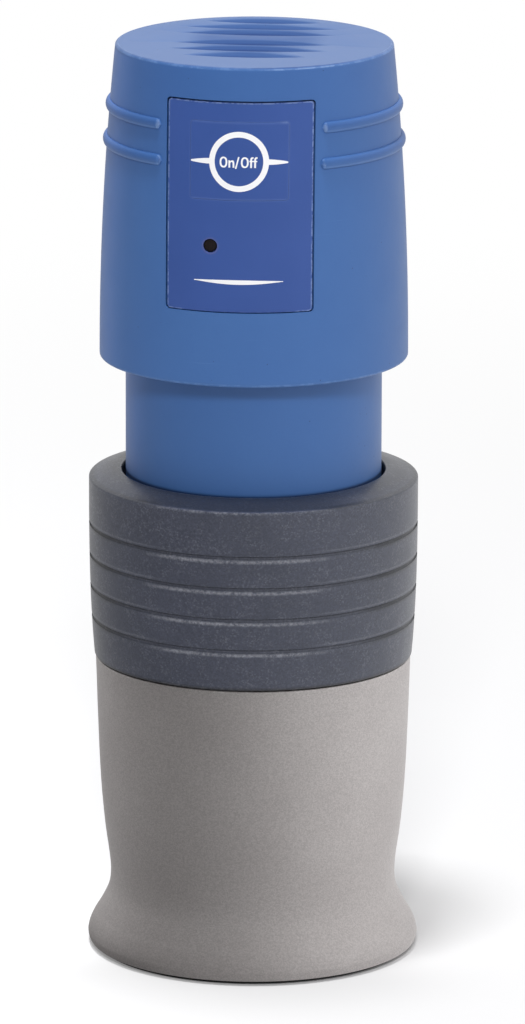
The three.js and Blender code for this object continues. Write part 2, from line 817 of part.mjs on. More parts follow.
const lightFace = Math.sqrt((headRadiusAt(lightHeight) - panelInset) ** 2 - lightX ** 2);
piece('front_panel', frontPanel(), 'panelBlue');
piece('on_off_key', onOffKey(), 'panelBlue');
piece('status_light', frontRod(lightRadius, lightX, lightHeight, boardFront + seatGap, lightFace,
  rodSides), 'darkLens');

// Cable gland, open for a lead
const glandSeat = headRadiusAt(glandHeight) + seatGap;
const glandStart = glandSeat - headWall - seatGap - glandFlange;
piece('cable_gland', turned([
  [glandBore, glandStart], [glandRadius, glandStart], [glandRadius, glandSeat],
  [glandFlangeRadius, glandSeat], [glandFlangeRadius - seatGap, glandSeat + glandFlange],
  [glandBore, glandSeat + glandFlange],
], innerSides).rotateX(-Math.PI / 2).translate(0, 0, glandHeight), 'rubber');

// Control board and what is mounted on it
function boardPart([width, depth], x, [riseShare, heightShare]) {
  const back = boardPlane - seatGap;
  const length = boardTop - boardBottom;
  return box([width, depth, length * heightShare],
    [x, -(back - depth / 2), boardBottom + length * riseShare]);
}

const boardMiddle = (boardBottom + boardTop) / 2;
const boardPlate = box([boardWidth, boardThickness, boardTop - boardBottom],
  [0, -(boardPlane + boardFront) / 2, boardMiddle]);
const boardHoles = postPlaces.map(([x, height]) => frontRod(boardScrewRadius + seatGap, x, height,
  boardPlane - overrun, boardFront + overrun, rodSides));
piece('control_board', cut(boardPlate, ...boardHoles), 'boardGreen');
postPlaces.forEach(([x, height], index) => {
  const shape = screw(boardScrewRadius, boardScrewHead, boardScrewHead, boardScrewLength);
  shape.rotateX(Math.PI / 2).translate(x, -(boardPlane - seatGap), height);
  piece(`board_screw_${index + 1}`, shape, 'steel');
});
piece('key_switch', box([switchSize, switchDepth, switchSize],
  [0, -(boardFront + seatGap + switchDepth / 2), (keyBottom + keyTop) / 2]), 'blackPlastic');
piece('suppression_capacitor', boardPart(capacitorSize, capacitorShift, capacitorShare), 'capYellow');
piece('power_triac', boardPart(triacSize, triacShift, triacShare), 'blackPlastic');
piece('terminal_block', boardPart(terminalSize, terminalShift, terminalShare), 'blackPlastic');

// Motor brackets and bearings
const tieHole = tieRadius + seatGap;

function tieHoles(bottom, top) {
  return [-1, 1].map((side) => disc(tieHole, bottom, top, rodSides).translate(0, side * tieCircle, 0));
}

function lowerBracket() {
  const housing = bearingRadius + seatGap + bearingHousingWall;
  const body = turned([
    [shaftRadius + 2 * seatGap, neckBottom], [neckInner - seatGap, neckBottom],
    [neckInner - seatGap, bracketTop], [housing, bracketTop], [housing, bearingTop],
    [bearingRadius + seatGap, bearingTop], [bearingRadius + seatGap, bearingBottom - seatGap],
    [shaftRadius + 2 * seatGap, bearingBottom - seatGap],
  ], innerSides);
  const [low, high] = [neckBottom - overrun, bracketTop + overrun];
  return cut(body, ...lidScrewHoles(low, high), ...tieHoles(low, high), pinHole(low, high));
}

function upperBracket() {
  const housing = topBearingRadius + seatGap + bearingHousingWall;
  const bore = shaftTopRadius + 4 * seatGap;
  const body = turned([
    [bore, topBracket], [neckRadius, topBracket], [neckRadius, topPlate], [housing, topPlate],
    [housing, topBearingTop], [topBearingRadius + seatGap, topBearingTop],
    [topBearingRadius + seatGap, topPlate - seatGap], [bore, topPlate - seatGap],
  ], innerSides);
  return cut(body, ...tieHoles(topBracket - overrun, topPlate + overrun));
}

piece('motor_bracket_lower', lowerBracket(), 'steel');
piece('bearing_lower', ring(shaftRadius + seatGap, bearingRadius, bearingBottom, bearingTop,
  innerSides), 'steel');
piece('motor_bracket_upper', upperBracket(), 'blackPlastic');
piece('bearing_upper', ring(shaftTopRadius + seatGap, topBearingRadius, topPlate, topBearingTop,
  innerSides), 'steel');
piece('motor_mount_ring', ring(neckInner, neckRadius, neckTop + seatGap, topBracket - seatGap,
  innerSides), 'rubber');
['front', 'rear'].forEach((side, index) => {
  const y = index === 0 ? -tieCircle : tieCircle;
  const underHead = topPlate + seatGap;
  const length = underHead - neckBottom - seatGap;
  const shape = screw(tieRadius, tieHeadRadius, tieHeadHeight, length).rotateX(Math.PI);
  piece(`tie_screw_${side}`, shape.translate(0, y, underHead), 'steel');
});

// Field core: a ring of laminations with two poles, and two lobes for the tie screws
function fieldCore() {
  const outline = new THREE.Shape();
  around(4, (angle) => outline.absarc(0, 0, coreRadius, angle, angle + Math.PI / 2));
  outline.closePath();
  const window = new THREE.Path();
  const pole = degrees(poleAngle);
  const shoe = degrees(shoeAngle);
  const lobe = degrees(lobeAngle);
  const shoeOuter = poleRadius + shoeThickness;
  const quarter = Math.PI / 2;
  [0, Math.PI].forEach((start) => {
    window.absarc(0, 0, poleRadius, start - shoe, start + shoe);
    window.absarc(0, 0, shoeOuter, start + shoe, start + pole, true);
    window.absarc(0, 0, yokeInner, start + pole, start + quarter - lobe);
    window.absarc(0, 0, lobeInner, start + quarter - lobe, start + quarter + lobe);
    window.absarc(0, 0, yokeInner, start + quarter + lobe, start + Math.PI - pole);
    window.absarc(0, 0, shoeOuter, start + Math.PI - pole, start + Math.PI - shoe, true);
  });
  window.closePath();
  outline.holes.push(window);
  const settings = { depth: stackHeight, bevelEnabled: false, curveSegments: 3 };
  const stack = new THREE.ExtrudeGeometry(outline, settings).translate(0, 0, stackBottom);
  const side = 2 * overrun;
  const flats = around(4, (angle) => turnedTo(box([side, 2 * coreRadius, stackHeight + overrun],
    [coreFlat + side / 2, 0, stackBottom + stackHeight / 2]), angle + Math.PI / 4));
  return cut(stack, ...flats, ...tieHoles(stackBottom - overrun, stackTop + overrun));
}

function fieldCoil(middle) {
  const coil = degrees(coilAngle);
  const pole = degrees(poleAngle) + seatGap / poleRadius;
  const inner = poleRadius + shoeThickness + seatGap;
  const outer = yokeInner - seatGap;
  const bottom = stackBottom - seatGap - coilThickness;
  const top = stackTop + seatGap + coilThickness;
  const whole = slab(sector(inner, outer, middle - coil, middle + coil), bottom, top);
  const core = slab(sector(poleRadius, outer + overrun, middle - pole, middle + pole),
    stackBottom - seatGap, stackTop + seatGap);
  return cut(whole, core);
}

piece('field_core', fieldCore(), 'hardSteel');
piece('field_coil_right', fieldCoil(0), 'copper');
piece('field_coil_left', fieldCoil(Math.PI), 'copper');

// Brush gear on both sides of the commutator
const bore = brushSide + 2 * seatGap;

function brushHolder() {
  const outer = bore + 2 * brushHolderWall;
  const length = brushHolderEnd - brushHolderStart;
  const middle = (brushHolderStart + brushHolderEnd) / 2;
  const tube = box([length, outer, outer], [middle, 0, brushHeight]);
  const lugTop = topBracket - seatGap;
  const lugBottom = brushHeight + bore / 2;
  const lug = box([lugLength, outer, lugTop - lugBottom],
    [brushHolderEnd - lugLength / 2, 0, (lugTop + lugBottom) / 2]);
  const channel = box([length, bore, bore], [middle - brushHolderWall, 0, brushHeight]);
  return cut(join(tube, lug), channel);
}

const brushStart = commutatorRadius + seatGap;
const springStart = brushStart + brushLength + seatGap;
const springSpace = brushHolderEnd - brushHolderWall - seatGap - springStart - 2 * springWire;
[['right', 0], ['left', Math.PI]].forEach(([side, angle]) => {
  const brush = box([brushLength, brushSide, brushSide], [brushStart + brushLength / 2, 0, brushHeight]);
  const coil = spring(brushSpringRadius, springWire, springSpace, brushSpringTurns);
  coil.rotateY(Math.PI / 2).translate(springStart + springWire, 0, brushHeight);
  piece(`brush_holder_${side}`, turnedTo(brushHolder(), angle), 'brass');
  piece(`carbon_brush_${side}`, turnedTo(brush, angle), 'carbon');
  piece(`brush_spring_${side}`, turnedTo(coil, angle), 'steel');
});

// Interlock: a pin from the beaker's rim to a switch under the upper bracket
const switchBottom = topBracket - seatGap - interlockSize[2];
const pinTop = switchBottom - seatGap;
const collarOfPinTop = pinCollarHeight + pinCollarThickness;
piece('interlock_switch', turnedTo(box(interlockSize, [0, pinCircle - interlockShift,
  switchBottom + interlockSize[2] / 2]), degrees(pinAngle) - Math.PI / 2), 'blackPlastic');
piece('interlock_pin', turned([
  [0, beakerTop + seatGap], [pinRadius, beakerTop + seatGap], [pinRadius, pinCollarHeight],
  [pinCollarRadius, pinCollarHeight], [pinCollarRadius, collarOfPinTop], [pinRadius, collarOfPinTop],
  [pinRadius, pinTop], [0, pinTop],
], rodSides).translate(pinX, pinY, 0), 'steel');
const pinSpringLength = pinTop - collarOfPinTop - seatGap - 2 * springWire;
piece('interlock_spring', spring(pinSpringRadius, springWire, pinSpringLength, pinSpringTurns)
  .translate(pinX, pinY, collarOfPinTop + seatGap + springWire), 'steel');

// Rotor: shaft, fan, armature, commutator, beater and nut
piece('rotor_shaft', turned([
  [0, shaftEnd], [shaftTipRadius, shaftEnd], [shaftTipRadius, beaterBottom + beaterHeight + seatGap],
  [shaftRadius, beaterBottom + beaterHeight + seatGap], [shaftRadius, topBracket - seatGap],
  [shaftTopRadius, topBracket - seatGap], [shaftTopRadius, shaftTop], [0, shaftTop],
], innerSides), 'steel');

function coolingFan() {
  const bottom = fanBottom;
  const top = bottom + fanHeight;
  const body = turned([
    [shaftRadius + seatGap, bottom], [fanRadius, bottom], [fanRadius, bottom + fanDisc],
    [fanHubRadius, bottom + fanDisc], [fanHubRadius, top], [shaftRadius + seatGap, top],
  ], innerSides);
  const bladeLength = fanRadius - fanHubRadius;
  const blades = around(fanBlades, (angle) => turnedTo(box([bladeLength, fanBladeWidth, fanHeight],
    [fanHubRadius + bladeLength / 2 - fanBladeWidth / 2, 0, bottom + fanHeight / 2]), angle));
  return join(body, ...blades);
}

// Slot outlines of the armature: a narrow mouth with a round-ended pocket behind it
function armatureSlotShape(inset) {
  const half = slotWidth / 2 - inset;
  const mouth = slotMouth / 2 - inset;
  const outer = armatureRadius - slotMouth - inset;
  const shape = new THREE.Shape();
  shape.moveTo(armatureRadius - slotDepth + inset, -half);
  shape.lineTo(outer, -half);
  shape.lineTo(armatureRadius - inset, -mouth);
  shape.lineTo(armatureRadius - inset, mouth);
  shape.lineTo(outer, half);
  shape.lineTo(armatureRadius - slotDepth + inset, half);
  shape.closePath();
  return shape;
}

function armatureCore() {
  const stack = ring(shaftRadius + seatGap, armatureRadius, stackBottom, stackTop, 2 * armatureSlots);
  const slots = around(armatureSlots, (angle) => {
    const slot = slab(armatureSlotShape(0), stackBottom - overrun, stackTop + overrun);
    const mouth = box([slotMouth * 2, slotMouth, stackHeight + 2 * overrun],
      [armatureRadius, 0, stackBottom + stackHeight / 2]);
    return turnedTo(join(slot, mouth), angle);
  });
  return cut(stack, ...slots);
}

function armatureWinding() {
  const inner = armatureRadius - slotDepth + seatGap;
  const bellInner = shaftRadius + seatGap;
  const lower = ring(bellInner, windingRadius, stackBottom - windingBell, stackBottom - seatGap,
    armatureSlots);
  const upper = ring(bellInner, windingRadius, stackTop + seatGap, stackTop + windingBell,
    armatureSlots);
  const barWidth = slotWidth - 2 * seatGap;
  const barDepth = windingRadius - inner;
  const bars = around(armatureSlots, (angle) => turnedTo(box([barDepth, barWidth, stackHeight + windingBell],
    [inner + barDepth / 2, 0, stackBottom + stackHeight / 2]), angle));
  return join(lower, upper, ...bars);
}

piece('cooling_fan', coolingFan(), 'blackPlastic');
piece('armature_core', armatureCore(), 'hardSteel');
piece('armature_winding', armatureWinding(), 'copper');
piece('commutator', turned([
  [shaftRadius + seatGap, commutatorBottom], [riserRadius, commutatorBottom],
  [riserRadius, commutatorBottom + riserHeight], [commutatorRadius, commutatorBottom + riserHeight],
  [commutatorRadius, commutatorBottom + commutatorHeight],
  [shaftRadius + seatGap, commutatorBottom + commutatorHeight],
], innerSides), 'copper');

function beater() {
  const top = beaterBottom + beaterHeight;
  const outline = new THREE.Shape();
  outline.moveTo(-beaterRadius, -beaterTipWidth / 2);
  outline.lineTo(0, -beaterRootWidth / 2);
  outline.lineTo(beaterRadius, -beaterTipWidth / 2);
  outline.lineTo(beaterRadius, beaterTipWidth / 2);
  outline.lineTo(0, beaterRootWidth / 2);
  outline.lineTo(-beaterRadius, beaterTipWidth / 2);
  outline.closePath();
  const settings = {
    depth: beaterBlade - 2 * beaterBevel,
    bevelThickness: beaterBevel,
    bevelSize: beaterBevel,
    bevelOffset: -beaterBevel,
    bevelSegments: 1,
  };
  const bladeBottom = beaterBottom + (beaterHeight - beaterBlade) / 2;
  const blade = new THREE.ExtrudeGeometry(outline, settings).translate(0, 0, bladeBottom + beaterBevel);
  const hub = disc(beaterHubRadius, beaterBottom, top, innerSides);
  const hole = disc(shaftTipRadius + seatGap, beaterBottom - overrun, top + overrun, innerSides);
  return cut(join(blade, hub), hole);
}

const nutCorner = nutFlats / Math.sqrt(3);
const nut = disc(nutCorner, shaftEnd + tipStickOut, beaterBottom - seatGap, 6);
piece('beater', beater(), 'hardSteel');
piece('beater_nut', cut(nut, disc(shaftTipRadius + seatGap, shaftEnd - overrun, beaterBottom + overrun,
  innerSides)), 'steel');

export default mill;
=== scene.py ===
import math

import bmesh
import bpy
import numpy as np
from mathutils import Matrix, Vector


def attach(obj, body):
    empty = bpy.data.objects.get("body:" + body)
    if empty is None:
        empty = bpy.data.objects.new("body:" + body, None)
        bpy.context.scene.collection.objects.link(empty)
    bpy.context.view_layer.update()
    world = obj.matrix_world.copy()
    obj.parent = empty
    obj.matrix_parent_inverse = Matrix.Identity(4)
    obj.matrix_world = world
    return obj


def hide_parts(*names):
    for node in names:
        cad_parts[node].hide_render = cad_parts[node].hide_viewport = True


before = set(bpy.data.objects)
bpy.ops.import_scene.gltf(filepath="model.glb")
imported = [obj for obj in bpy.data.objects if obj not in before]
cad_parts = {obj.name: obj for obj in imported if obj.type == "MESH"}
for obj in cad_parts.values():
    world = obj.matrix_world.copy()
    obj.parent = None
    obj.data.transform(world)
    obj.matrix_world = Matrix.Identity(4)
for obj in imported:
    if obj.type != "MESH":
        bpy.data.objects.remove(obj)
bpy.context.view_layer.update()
mm = 0.001

# Camera, fitted to the rims of the round body
camera = {
    "distance": 2.2504,
    "height": 0.6681,
    "azimuth": 6.0,
    "downward": 13.808,
    "rightward": 0.0594,
    "roll": 0.15,
    "lens": 315.2,
    "sensor": 36.0,
    "farthest": 50,
}


def addObject(name, data):
    made = bpy.data.objects.new(name, data)
    bpy.context.collection.objects.link(made)
    return made


def turnAbout(axis, degrees):
    return Matrix.Rotation(math.radians(degrees), 4, axis)


def addCamera():
    data = bpy.data.cameras.new("camera")
    data.sensor_fit = "VERTICAL"
    data.sensor_height = camera["sensor"]
    data.lens = camera["lens"]
    data.clip_end = camera["farthest"]
    seat = addObject("camera", data)
    azimuth = math.radians(camera["azimuth"])
    seat.location = (math.sin(azimuth) * camera["distance"], -math.cos(azimuth) * camera["distance"], camera["height"])
    heading = turnAbout("Z", camera["azimuth"] - camera["rightward"])
    pitch = turnAbout("X", 90 - camera["downward"])
    seat.rotation_euler = (heading @ pitch @ turnAbout("Z", camera["roll"])).to_euler()
    bpy.context.scene.camera = seat


addCamera()
print("camera placed")


# Node trees written as Python
class Wire:  # a socket that can stand in an expression
    def __init__(self, tree, socket):
        self.tree, self.socket = tree, socket

    def also(self, name):  # another output of the same node
        return Wire(self.tree, self.socket.node.outputs[name])

    def maths(self, operation, *others):
        return self.tree.maths(operation, self, *others)

    def __add__(self, other):
        return self.maths("ADD", other)

    def __sub__(self, other):
        return self.maths("SUBTRACT", other)

    def __mul__(self, other):
        return self.maths("MULTIPLY", other)

    def __truediv__(self, other):
        return self.maths("DIVIDE", other)

    def __pow__(self, other):
        return self.maths("POWER", other)

    def __radd__(self, other):
        return self.tree.maths("ADD", other, self)

    def __rsub__(self, other):
        return self.tree.maths("SUBTRACT", other, self)

    def __rmul__(self, other):
        return self.tree.maths("MULTIPLY", other, self)

    def __rtruediv__(self, other):
        return self.tree.maths("DIVIDE", other, self)

    def __gt__(self, other):
        return self.maths("GREATER_THAN", other)

    def __lt__(self, other):
        return self.maths("LESS_THAN", other)

    def __abs__(self):
        return self.maths("ABSOLUTE")

    def atLeast(self, other):
        return self.maths("MAXIMUM", other)

    def atMost(self, other):
        return self.maths("MINIMUM", other)

    def rise(self, low, high):  # 0 below low, 1 above high, smooth between
        settings = {"interpolation_type": "SMOOTHSTEP"}
        return self.tree.node("ShaderNodeMapRange", settings, {"Value": self, "From Min": low, "From Max": high})

    def fall(self, low, high):  # 1 below low, 0 above high
        return 1 - self.rise(low, high)

    def near(self, middle, reach):  # 1 at middle, 0 from reach on
        return abs(self - middle).fall(0, reach)


class Tree:  # a node tree, with one method for any node
    def __init__(self, nodeTree):
        self.tree = nodeTree

    def node(self, kind, settings=None, sockets=None, output=0):
        made = self.tree.nodes.new(kind)
        for name, value in (settings or {}).items():
            setattr(made, name, value)
        for name, value in (sockets or {}).items():
            if isinstance(value, Wire):
                self.tree.links.new(value.socket, made.inputs[name])
            elif value is not None:
                made.inputs[name].default_value = value
        return Wire(self, made.outputs[output]) if len(made.outputs) else None

    def maths(self, operation, *values):
        return self.node("ShaderNodeMath", {"operation": operation}, dict(enumerate(values)))

    def vector(self, x, y, z):
        return self.node("ShaderNodeCombineXYZ", sockets={0: x, 1: y, 2: z})

    def split(self, vector):  # x, y and z of a vector
        parts = self.node("ShaderNodeSeparateXYZ", sockets={0: vector})
        return parts, parts.also("Y"), parts.also("Z")

    def length(self, first, second):
        return (first * first + second * second) ** 0.5


def emptyTree(owner):  # the nodes of a material or a world, cleared
    owner.use_nodes = True
    owner.node_tree.nodes.clear()
    return owner.node_tree


def ink(red, green, blue):  # screen colour to the linear value that a shader takes
    def linear(value):
        share = value / 255
        return share / 12.92 if share <= 0.04045 else ((share + 0.055) / 1.055) ** 2.4
    return (linear(red), linear(green), linear(blue), 1.0)


def inks(**tones):
    return {name: ink(*tone) for name, tone in tones.items()}


finishes = {}  # by name, as each one is done


class Finish(Tree):  # a material on Object coordinates, in millimetres
    def __init__(self, name):
        self.name, self.material = name, bpy.data.materials.new(name)
        super().__init__(emptyTree(self.material))
        self.place = self.node("ShaderNodeTexCoord", output="Object")
        self.x, self.y, self.z = (part * 1000 for part in self.split(self.place))
        self.radius = self.length(self.x, self.y)
        self.rightward, self.forward = self.x / self.radius, self.y / self.radius * -1
        self.edge = self.node("ShaderNodeAttribute", {"attribute_name": "edge"}, output="Fac")

    def noise(self, size, detail=2, roughness=0.5, vector=None, shift=0):
        settings = {"noise_dimensions": "4D" if shift else "3D"}
        sockets = {"Vector": vector or self.place, "Scale": (1 if vector else 1000) / size}
        sockets |= {"Detail": detail, "Roughness": roughness}
        if shift:
            sockets["W"] = shift
        return self.node("ShaderNodeTexNoise", settings, sockets, "Fac")

    def clouds(self, size):
        return self.noise(size, 3).rise(0.3, 0.7)

    def cells(self, size):
        return self.node("ShaderNodeTexVoronoi", sockets={"Vector": self.place, "Scale": 1000 / size})

    def flecks(self, size, cells=None):  # one random value for each small cell
        cells = cells or self.cells(size)
        return self.node("ShaderNodeSeparateColor", sockets={0: cells.also("Color")})

    def spots(self, size, share, reach=0.3):  # round dots in a share of the cells
        cells = self.cells(size)
        return cells.fall(reach * 0.5, reach) * (self.flecks(size, cells) < share)

    def lathed(self, size, detail=3):  # rings that a cutting tool leaves
        return self.noise(size, detail, 0.6, self.vector(self.radius, self.z, 0.0))

    def scratches(self, size, length, share, lean=0.0, shift=0):  # thin hairlines along the turning direction
        around = self.maths("ARCTAN2", self.x, self.y) * (40 * size / length)
        lines = self.vector(around, self.z + self.radius + around * lean, 0.5)
        return self.noise(size, 1, 0.4, lines, shift).rise(share, share + 0.04)

    def mix(self, share, first, second, kind="MIX"):
        return self.node("ShaderNodeMix", {"data_type": "RGBA", "blend_type": kind}, {0: share, 6: first, 7: second}, 2)

    def coated(self, colour, *coats):  # each coat is a share and a tone
        for share, tone in coats:
            colour = self.mix(share, colour, tone)
        return colour

    def shade(self, colour, factor):  # a colour times a number that varies
        grey = self.node("ShaderNodeCombineColor", sockets={0: factor, 1: factor, 2: factor})
        return self.mix(1.0, colour, grey, "MULTIPLY")

    def done(self, colour, roughness, height, depth, **sockets):
        normal = self.node("ShaderNodeBump", sockets={"Height": height, "Distance": depth * mm})
        named = {name.replace("_", " ").title().replace("Ior", "IOR"): value for name, value in sockets.items()}
        values = {"Base Color": colour, "Roughness": roughness, "Normal": normal, **named}
        shader = self.node("ShaderNodeBsdfPrincipled", sockets=values)
        self.node("ShaderNodeOutputMaterial", sockets={"Surface": shader})
        finishes[self.name] = self.material


# Sizes that the finishes need too
key = {
    "width": 25.0,
    "bottom": 205.06,
    "top": 224.95,
    "corner": 1.0,
    "gap": 0.03,
    "inset": 0.17,
    "thickness": 2.4,
    "bevel": 0.07,
    "wear": 0.35,
    "stem": (2.0, 32.2, 36.5),
    "window": 0.3,
}
head = {
    "bottom": 157,
    "top": 238.6,
    "radius": 39.7,
    "taper": 4.15,
    "wall": 3.0,
    "rim": 0.8,
    "footEdges": (0.3, 0.7),
    "innerCove": 1.5,
    "ledge": (34.0, 165.0, 167.4),
    "glandHeight": 178.4,
    "glandHole": 5.5,
}
rib = {"heights": (213.7, 222.8), "endAngles": (32.3, 33.5), "width": 2.9, "proud": 1.05}
panel = {
    "width": 37.7,
    "bottom": 176.2,
    "top": 230.2,
    "corner": 1.1,
    "gap": 0.42,
    "lowGap": 0.2,
    "inset": 0.2,
    "thickness": 1.35,
    "pocket": 1.9,
    "bevel": 0.2,
    "holeBevel": 0.05,
    "lightAngle": -10.6,
    "lightHeight": 193.27,
    "lightHole": 1.78,
}
collar = {
    "radius": 42.5,
    "taper": 1.4,
    "bottom": 78.0,
    "top": 125.0,
    "shoulder": ((39.4, 125.95), (36.2, 126.85)),
    "rimTop": 127.0,
    "bore": 33.9,
    "rebate": (38.7, 83.7),
    "grooveCount": 4,
    "groovePitch": 8.23,
    "topDrop": 12.1,
    "grooveWidth": 2.0,
    "grooveDepth": 0.7,
    "apexShare": 0.8,
}


def headShare(height):  # 0 at the head's lower edge, 1 at its top
    return (height - head["bottom"]) / (head["top"] - head["bottom"])


def headRadiusAt(height):  # the wall narrows upwards
    return head["radius"] - head["taper"] * max(headShare(height), 0) ** 2


lightPlace = headRadiusAt(panel["lightHeight"]) * math.sin(math.radians(panel["lightAngle"]))

# Finishes: the tones as they show on the screen
headTone = inks(body=(62, 104, 164), pale=(104, 140, 194), deep=(53, 93, 155), rubbed=(142, 155, 181),
                speck=(34, 50, 84), shaded=(24, 54, 112), glint=(186, 204, 232), sheen=(100, 140, 216))
panelTone = inks(body=(51, 81, 150), pale=(128, 150, 198), deep=(44, 74, 140), halo=(98, 98, 142))
collarTone = inks(body=(64, 68, 83), pale=(150, 152, 160), deep=(50, 54, 66), pit=(28, 29, 34))
baseTone = inks(body=(200, 195, 194), pale=(222, 219, 218), deep=(170, 164, 163))

# Where the blue plastic is worn or scuffed, and where shade, highlights and sheen are painted on it; heights, radii and
# drops below the top
headWearAndPaintedLight = {
    "topFace": (0.05, 0.4),
    "fluteDrops": ((0.02, 0.3), (0.35, 1.1), (1.5, 1.8)),
    "fluteRadii": (32.4, 33.4),
    "outerFlutes": (14.4, 15.4),
    "bowl": (19.0, 25.0, 4.0),
    "rimRadii": (33.6, 34.4),
    "glintDrop": (0.5, 0.17),
    "rimShadeDrop": (0.12, 0.14),
    "sheenDrop": (0.6, 1.6),
    "upper": (188.0, 232.0),
    "ribLightLine": (-0.95, 0.55),
    "ribShadeBand": (0.5, 1.0),
    "scuffs": (159.0, 164.0),
    "neckGapShadeReach": 0.8,
    "neckRadii": (33.2, 33.6),
}


def headPlastic():
    made = Finish("head_plastic")
    haze = made.noise(7, 4, 0.6, shift=2)
    grain = made.noise(0.42)
    peel = made.noise(1.3)
    rub = made.noise(2.2, 3, 0.65, shift=5)
    worn = made.edge.rise(0.8, 1.0) * (0.3 + rub.rise(0.46, 0.62) * 0.7)
    depth = head["top"] - made.z
    top = depth.fall(*headWearAndPaintedLight["topFace"])
    slope, pit, floor = headWearAndPaintedLight["fluteDrops"]
    # painted shade: the flutes' scoops are painted darker the deeper they go, a little less on the outer flutes
    scoop = (depth.rise(*slope) * 0.5 + depth.rise(*pit) * 0.5) * depth.fall(*floor)
    scoop = scoop * made.radius.fall(*headWearAndPaintedLight["fluteRadii"]) * (1 - abs(made.y).rise(*headWearAndPaintedLight["outerFlutes"]) * 0.28)
    wide, long, middle = headWearAndPaintedLight["bowl"]
    # painted shade on the top round the flutes, where the top's painted sheen is also held back
    bowl = made.length(made.x / wide, (made.y - middle) / long).fall(0.6, 1.0)
    outer = made.radius.rise(*headWearAndPaintedLight["rimRadii"])
    lit = made.rightward.rise(-0.1, 0.35) * made.rightward.fall(0.55, 0.9)
    # painted highlight: a bright broken line along the top rim, strongest on the lit right-hand side
    glint = depth.near(*headWearAndPaintedLight["glintDrop"]) * outer * rub.rise(0.32, 0.6) * (0.07 + lit * 0.3)
    # painted shade: a dark line where the flat top meets the rim's rounding, stronger on the right
    rimShadeLine = depth.near(*headWearAndPaintedLight["rimShadeDrop"]) * outer * (0.25 + lit * 0.45)
    # painted sheen: the left side, below the top, is painted lighter and bluer
    leftSheen = (made.rightward * -1).rise(0.74, 0.99) * depth.rise(*headWearAndPaintedLight["sheenDrop"])
    share = headShare(made.z.atLeast(head["bottom"]))
    proud = (made.radius + share * share * head["taper"] - head["radius"]).rise(0.1, 0.6)
    proud = proud * (made.z > rib["heights"][0] - rib["width"])
    # painted highlight along each rib's lower edge, and painted shade over its upper half
    below, above = (
        sum(made.z.near(height + drop, reach) for height in rib["heights"])
        for drop, reach in (headWearAndPaintedLight["ribLightLine"], headWearAndPaintedLight["ribShadeBand"])
    )
    # worn rib ends, painted in the glint tone as a highlight
    tips = made.edge.rise(0.4, 0.9) * proud * rub.rise(0.4, 0.62)
    scuff = made.spots(1.5, 0.4, 0.16) * made.z.fall(*headWearAndPaintedLight["scuffs"]) * made.rightward.rise(0.8, 0.96)
    hair = made.scratches(0.28, 26, 0.70, 0.4, 3) * made.noise(22, shift=7).rise(0.52, 0.66)
    speck = made.spots(3.4, 0.24, 0.055)
    # painted shade: a dark line on the neck where it goes into the collar, in the speck tone
    neckGapShade = made.z.near(collar["rimTop"] - 0.3, headWearAndPaintedLight["neckGapShadeReach"]) * made.radius.fall(*headWearAndPaintedLight["neckRadii"])
    # painted shade: the wall is painted darker towards the top
    upper = made.z.rise(*headWearAndPaintedLight["upper"])
    colour = made.coated(
        headTone["body"],
        (made.clouds(34) * 0.22 + haze.rise(0.4, 0.8) * 0.12 + upper * 0.45, headTone["deep"]),
        (leftSheen * 0.34, headTone["sheen"]),
        (worn * 0.42 + hair * 0.20, headTone["pale"]),
        # painted sheen: the flat top is painted paler, in hazy patches, less round the flutes
        (top * (0.10 + haze * 0.26) * (1 - bowl * 0.8), headTone["rubbed"]),
        (scoop + rimShadeLine + top * bowl * 0.28 + proud * above * 0.24, headTone["shaded"]),
        (proud * below * 0.38, headTone["pale"]),
        (glint + tips * 0.2, headTone["glint"]),
        (speck * 0.8 + scuff * 0.6 + neckGapShade * 0.9, headTone["speck"]),
    )
    colour = made.shade(colour, 0.965 + grain * 0.07)
    roughness = 0.40 + haze * 0.10 + grain * 0.06 - worn * 0.08 + hair * 0.08 + scoop * 0.28
    height = grain * 0.55 + peel * 0.9 - speck * 1.2 - hair * 0.5
    made.done(colour, roughness, height, depth=0.012, specular_ior_level=0.5)


# Where the panel's foil is rubbed, and where highlights are painted round the key's outline and the status light
panelWearAndHighlights = {
    "keySpan": (14.0, 15.0),
    "aboveKeyFoot": (12.0, 19.5),
    "keyFront": (11.9, 12.6),
    "keyCorner": (9.5, 12.0),
    "topLine": (-0.2, 0.6),
    "lowLine": (0.1, 0.6),
    "sideLines": (0.4, 0.45),
    "halo": (0.15, 0.5),
}


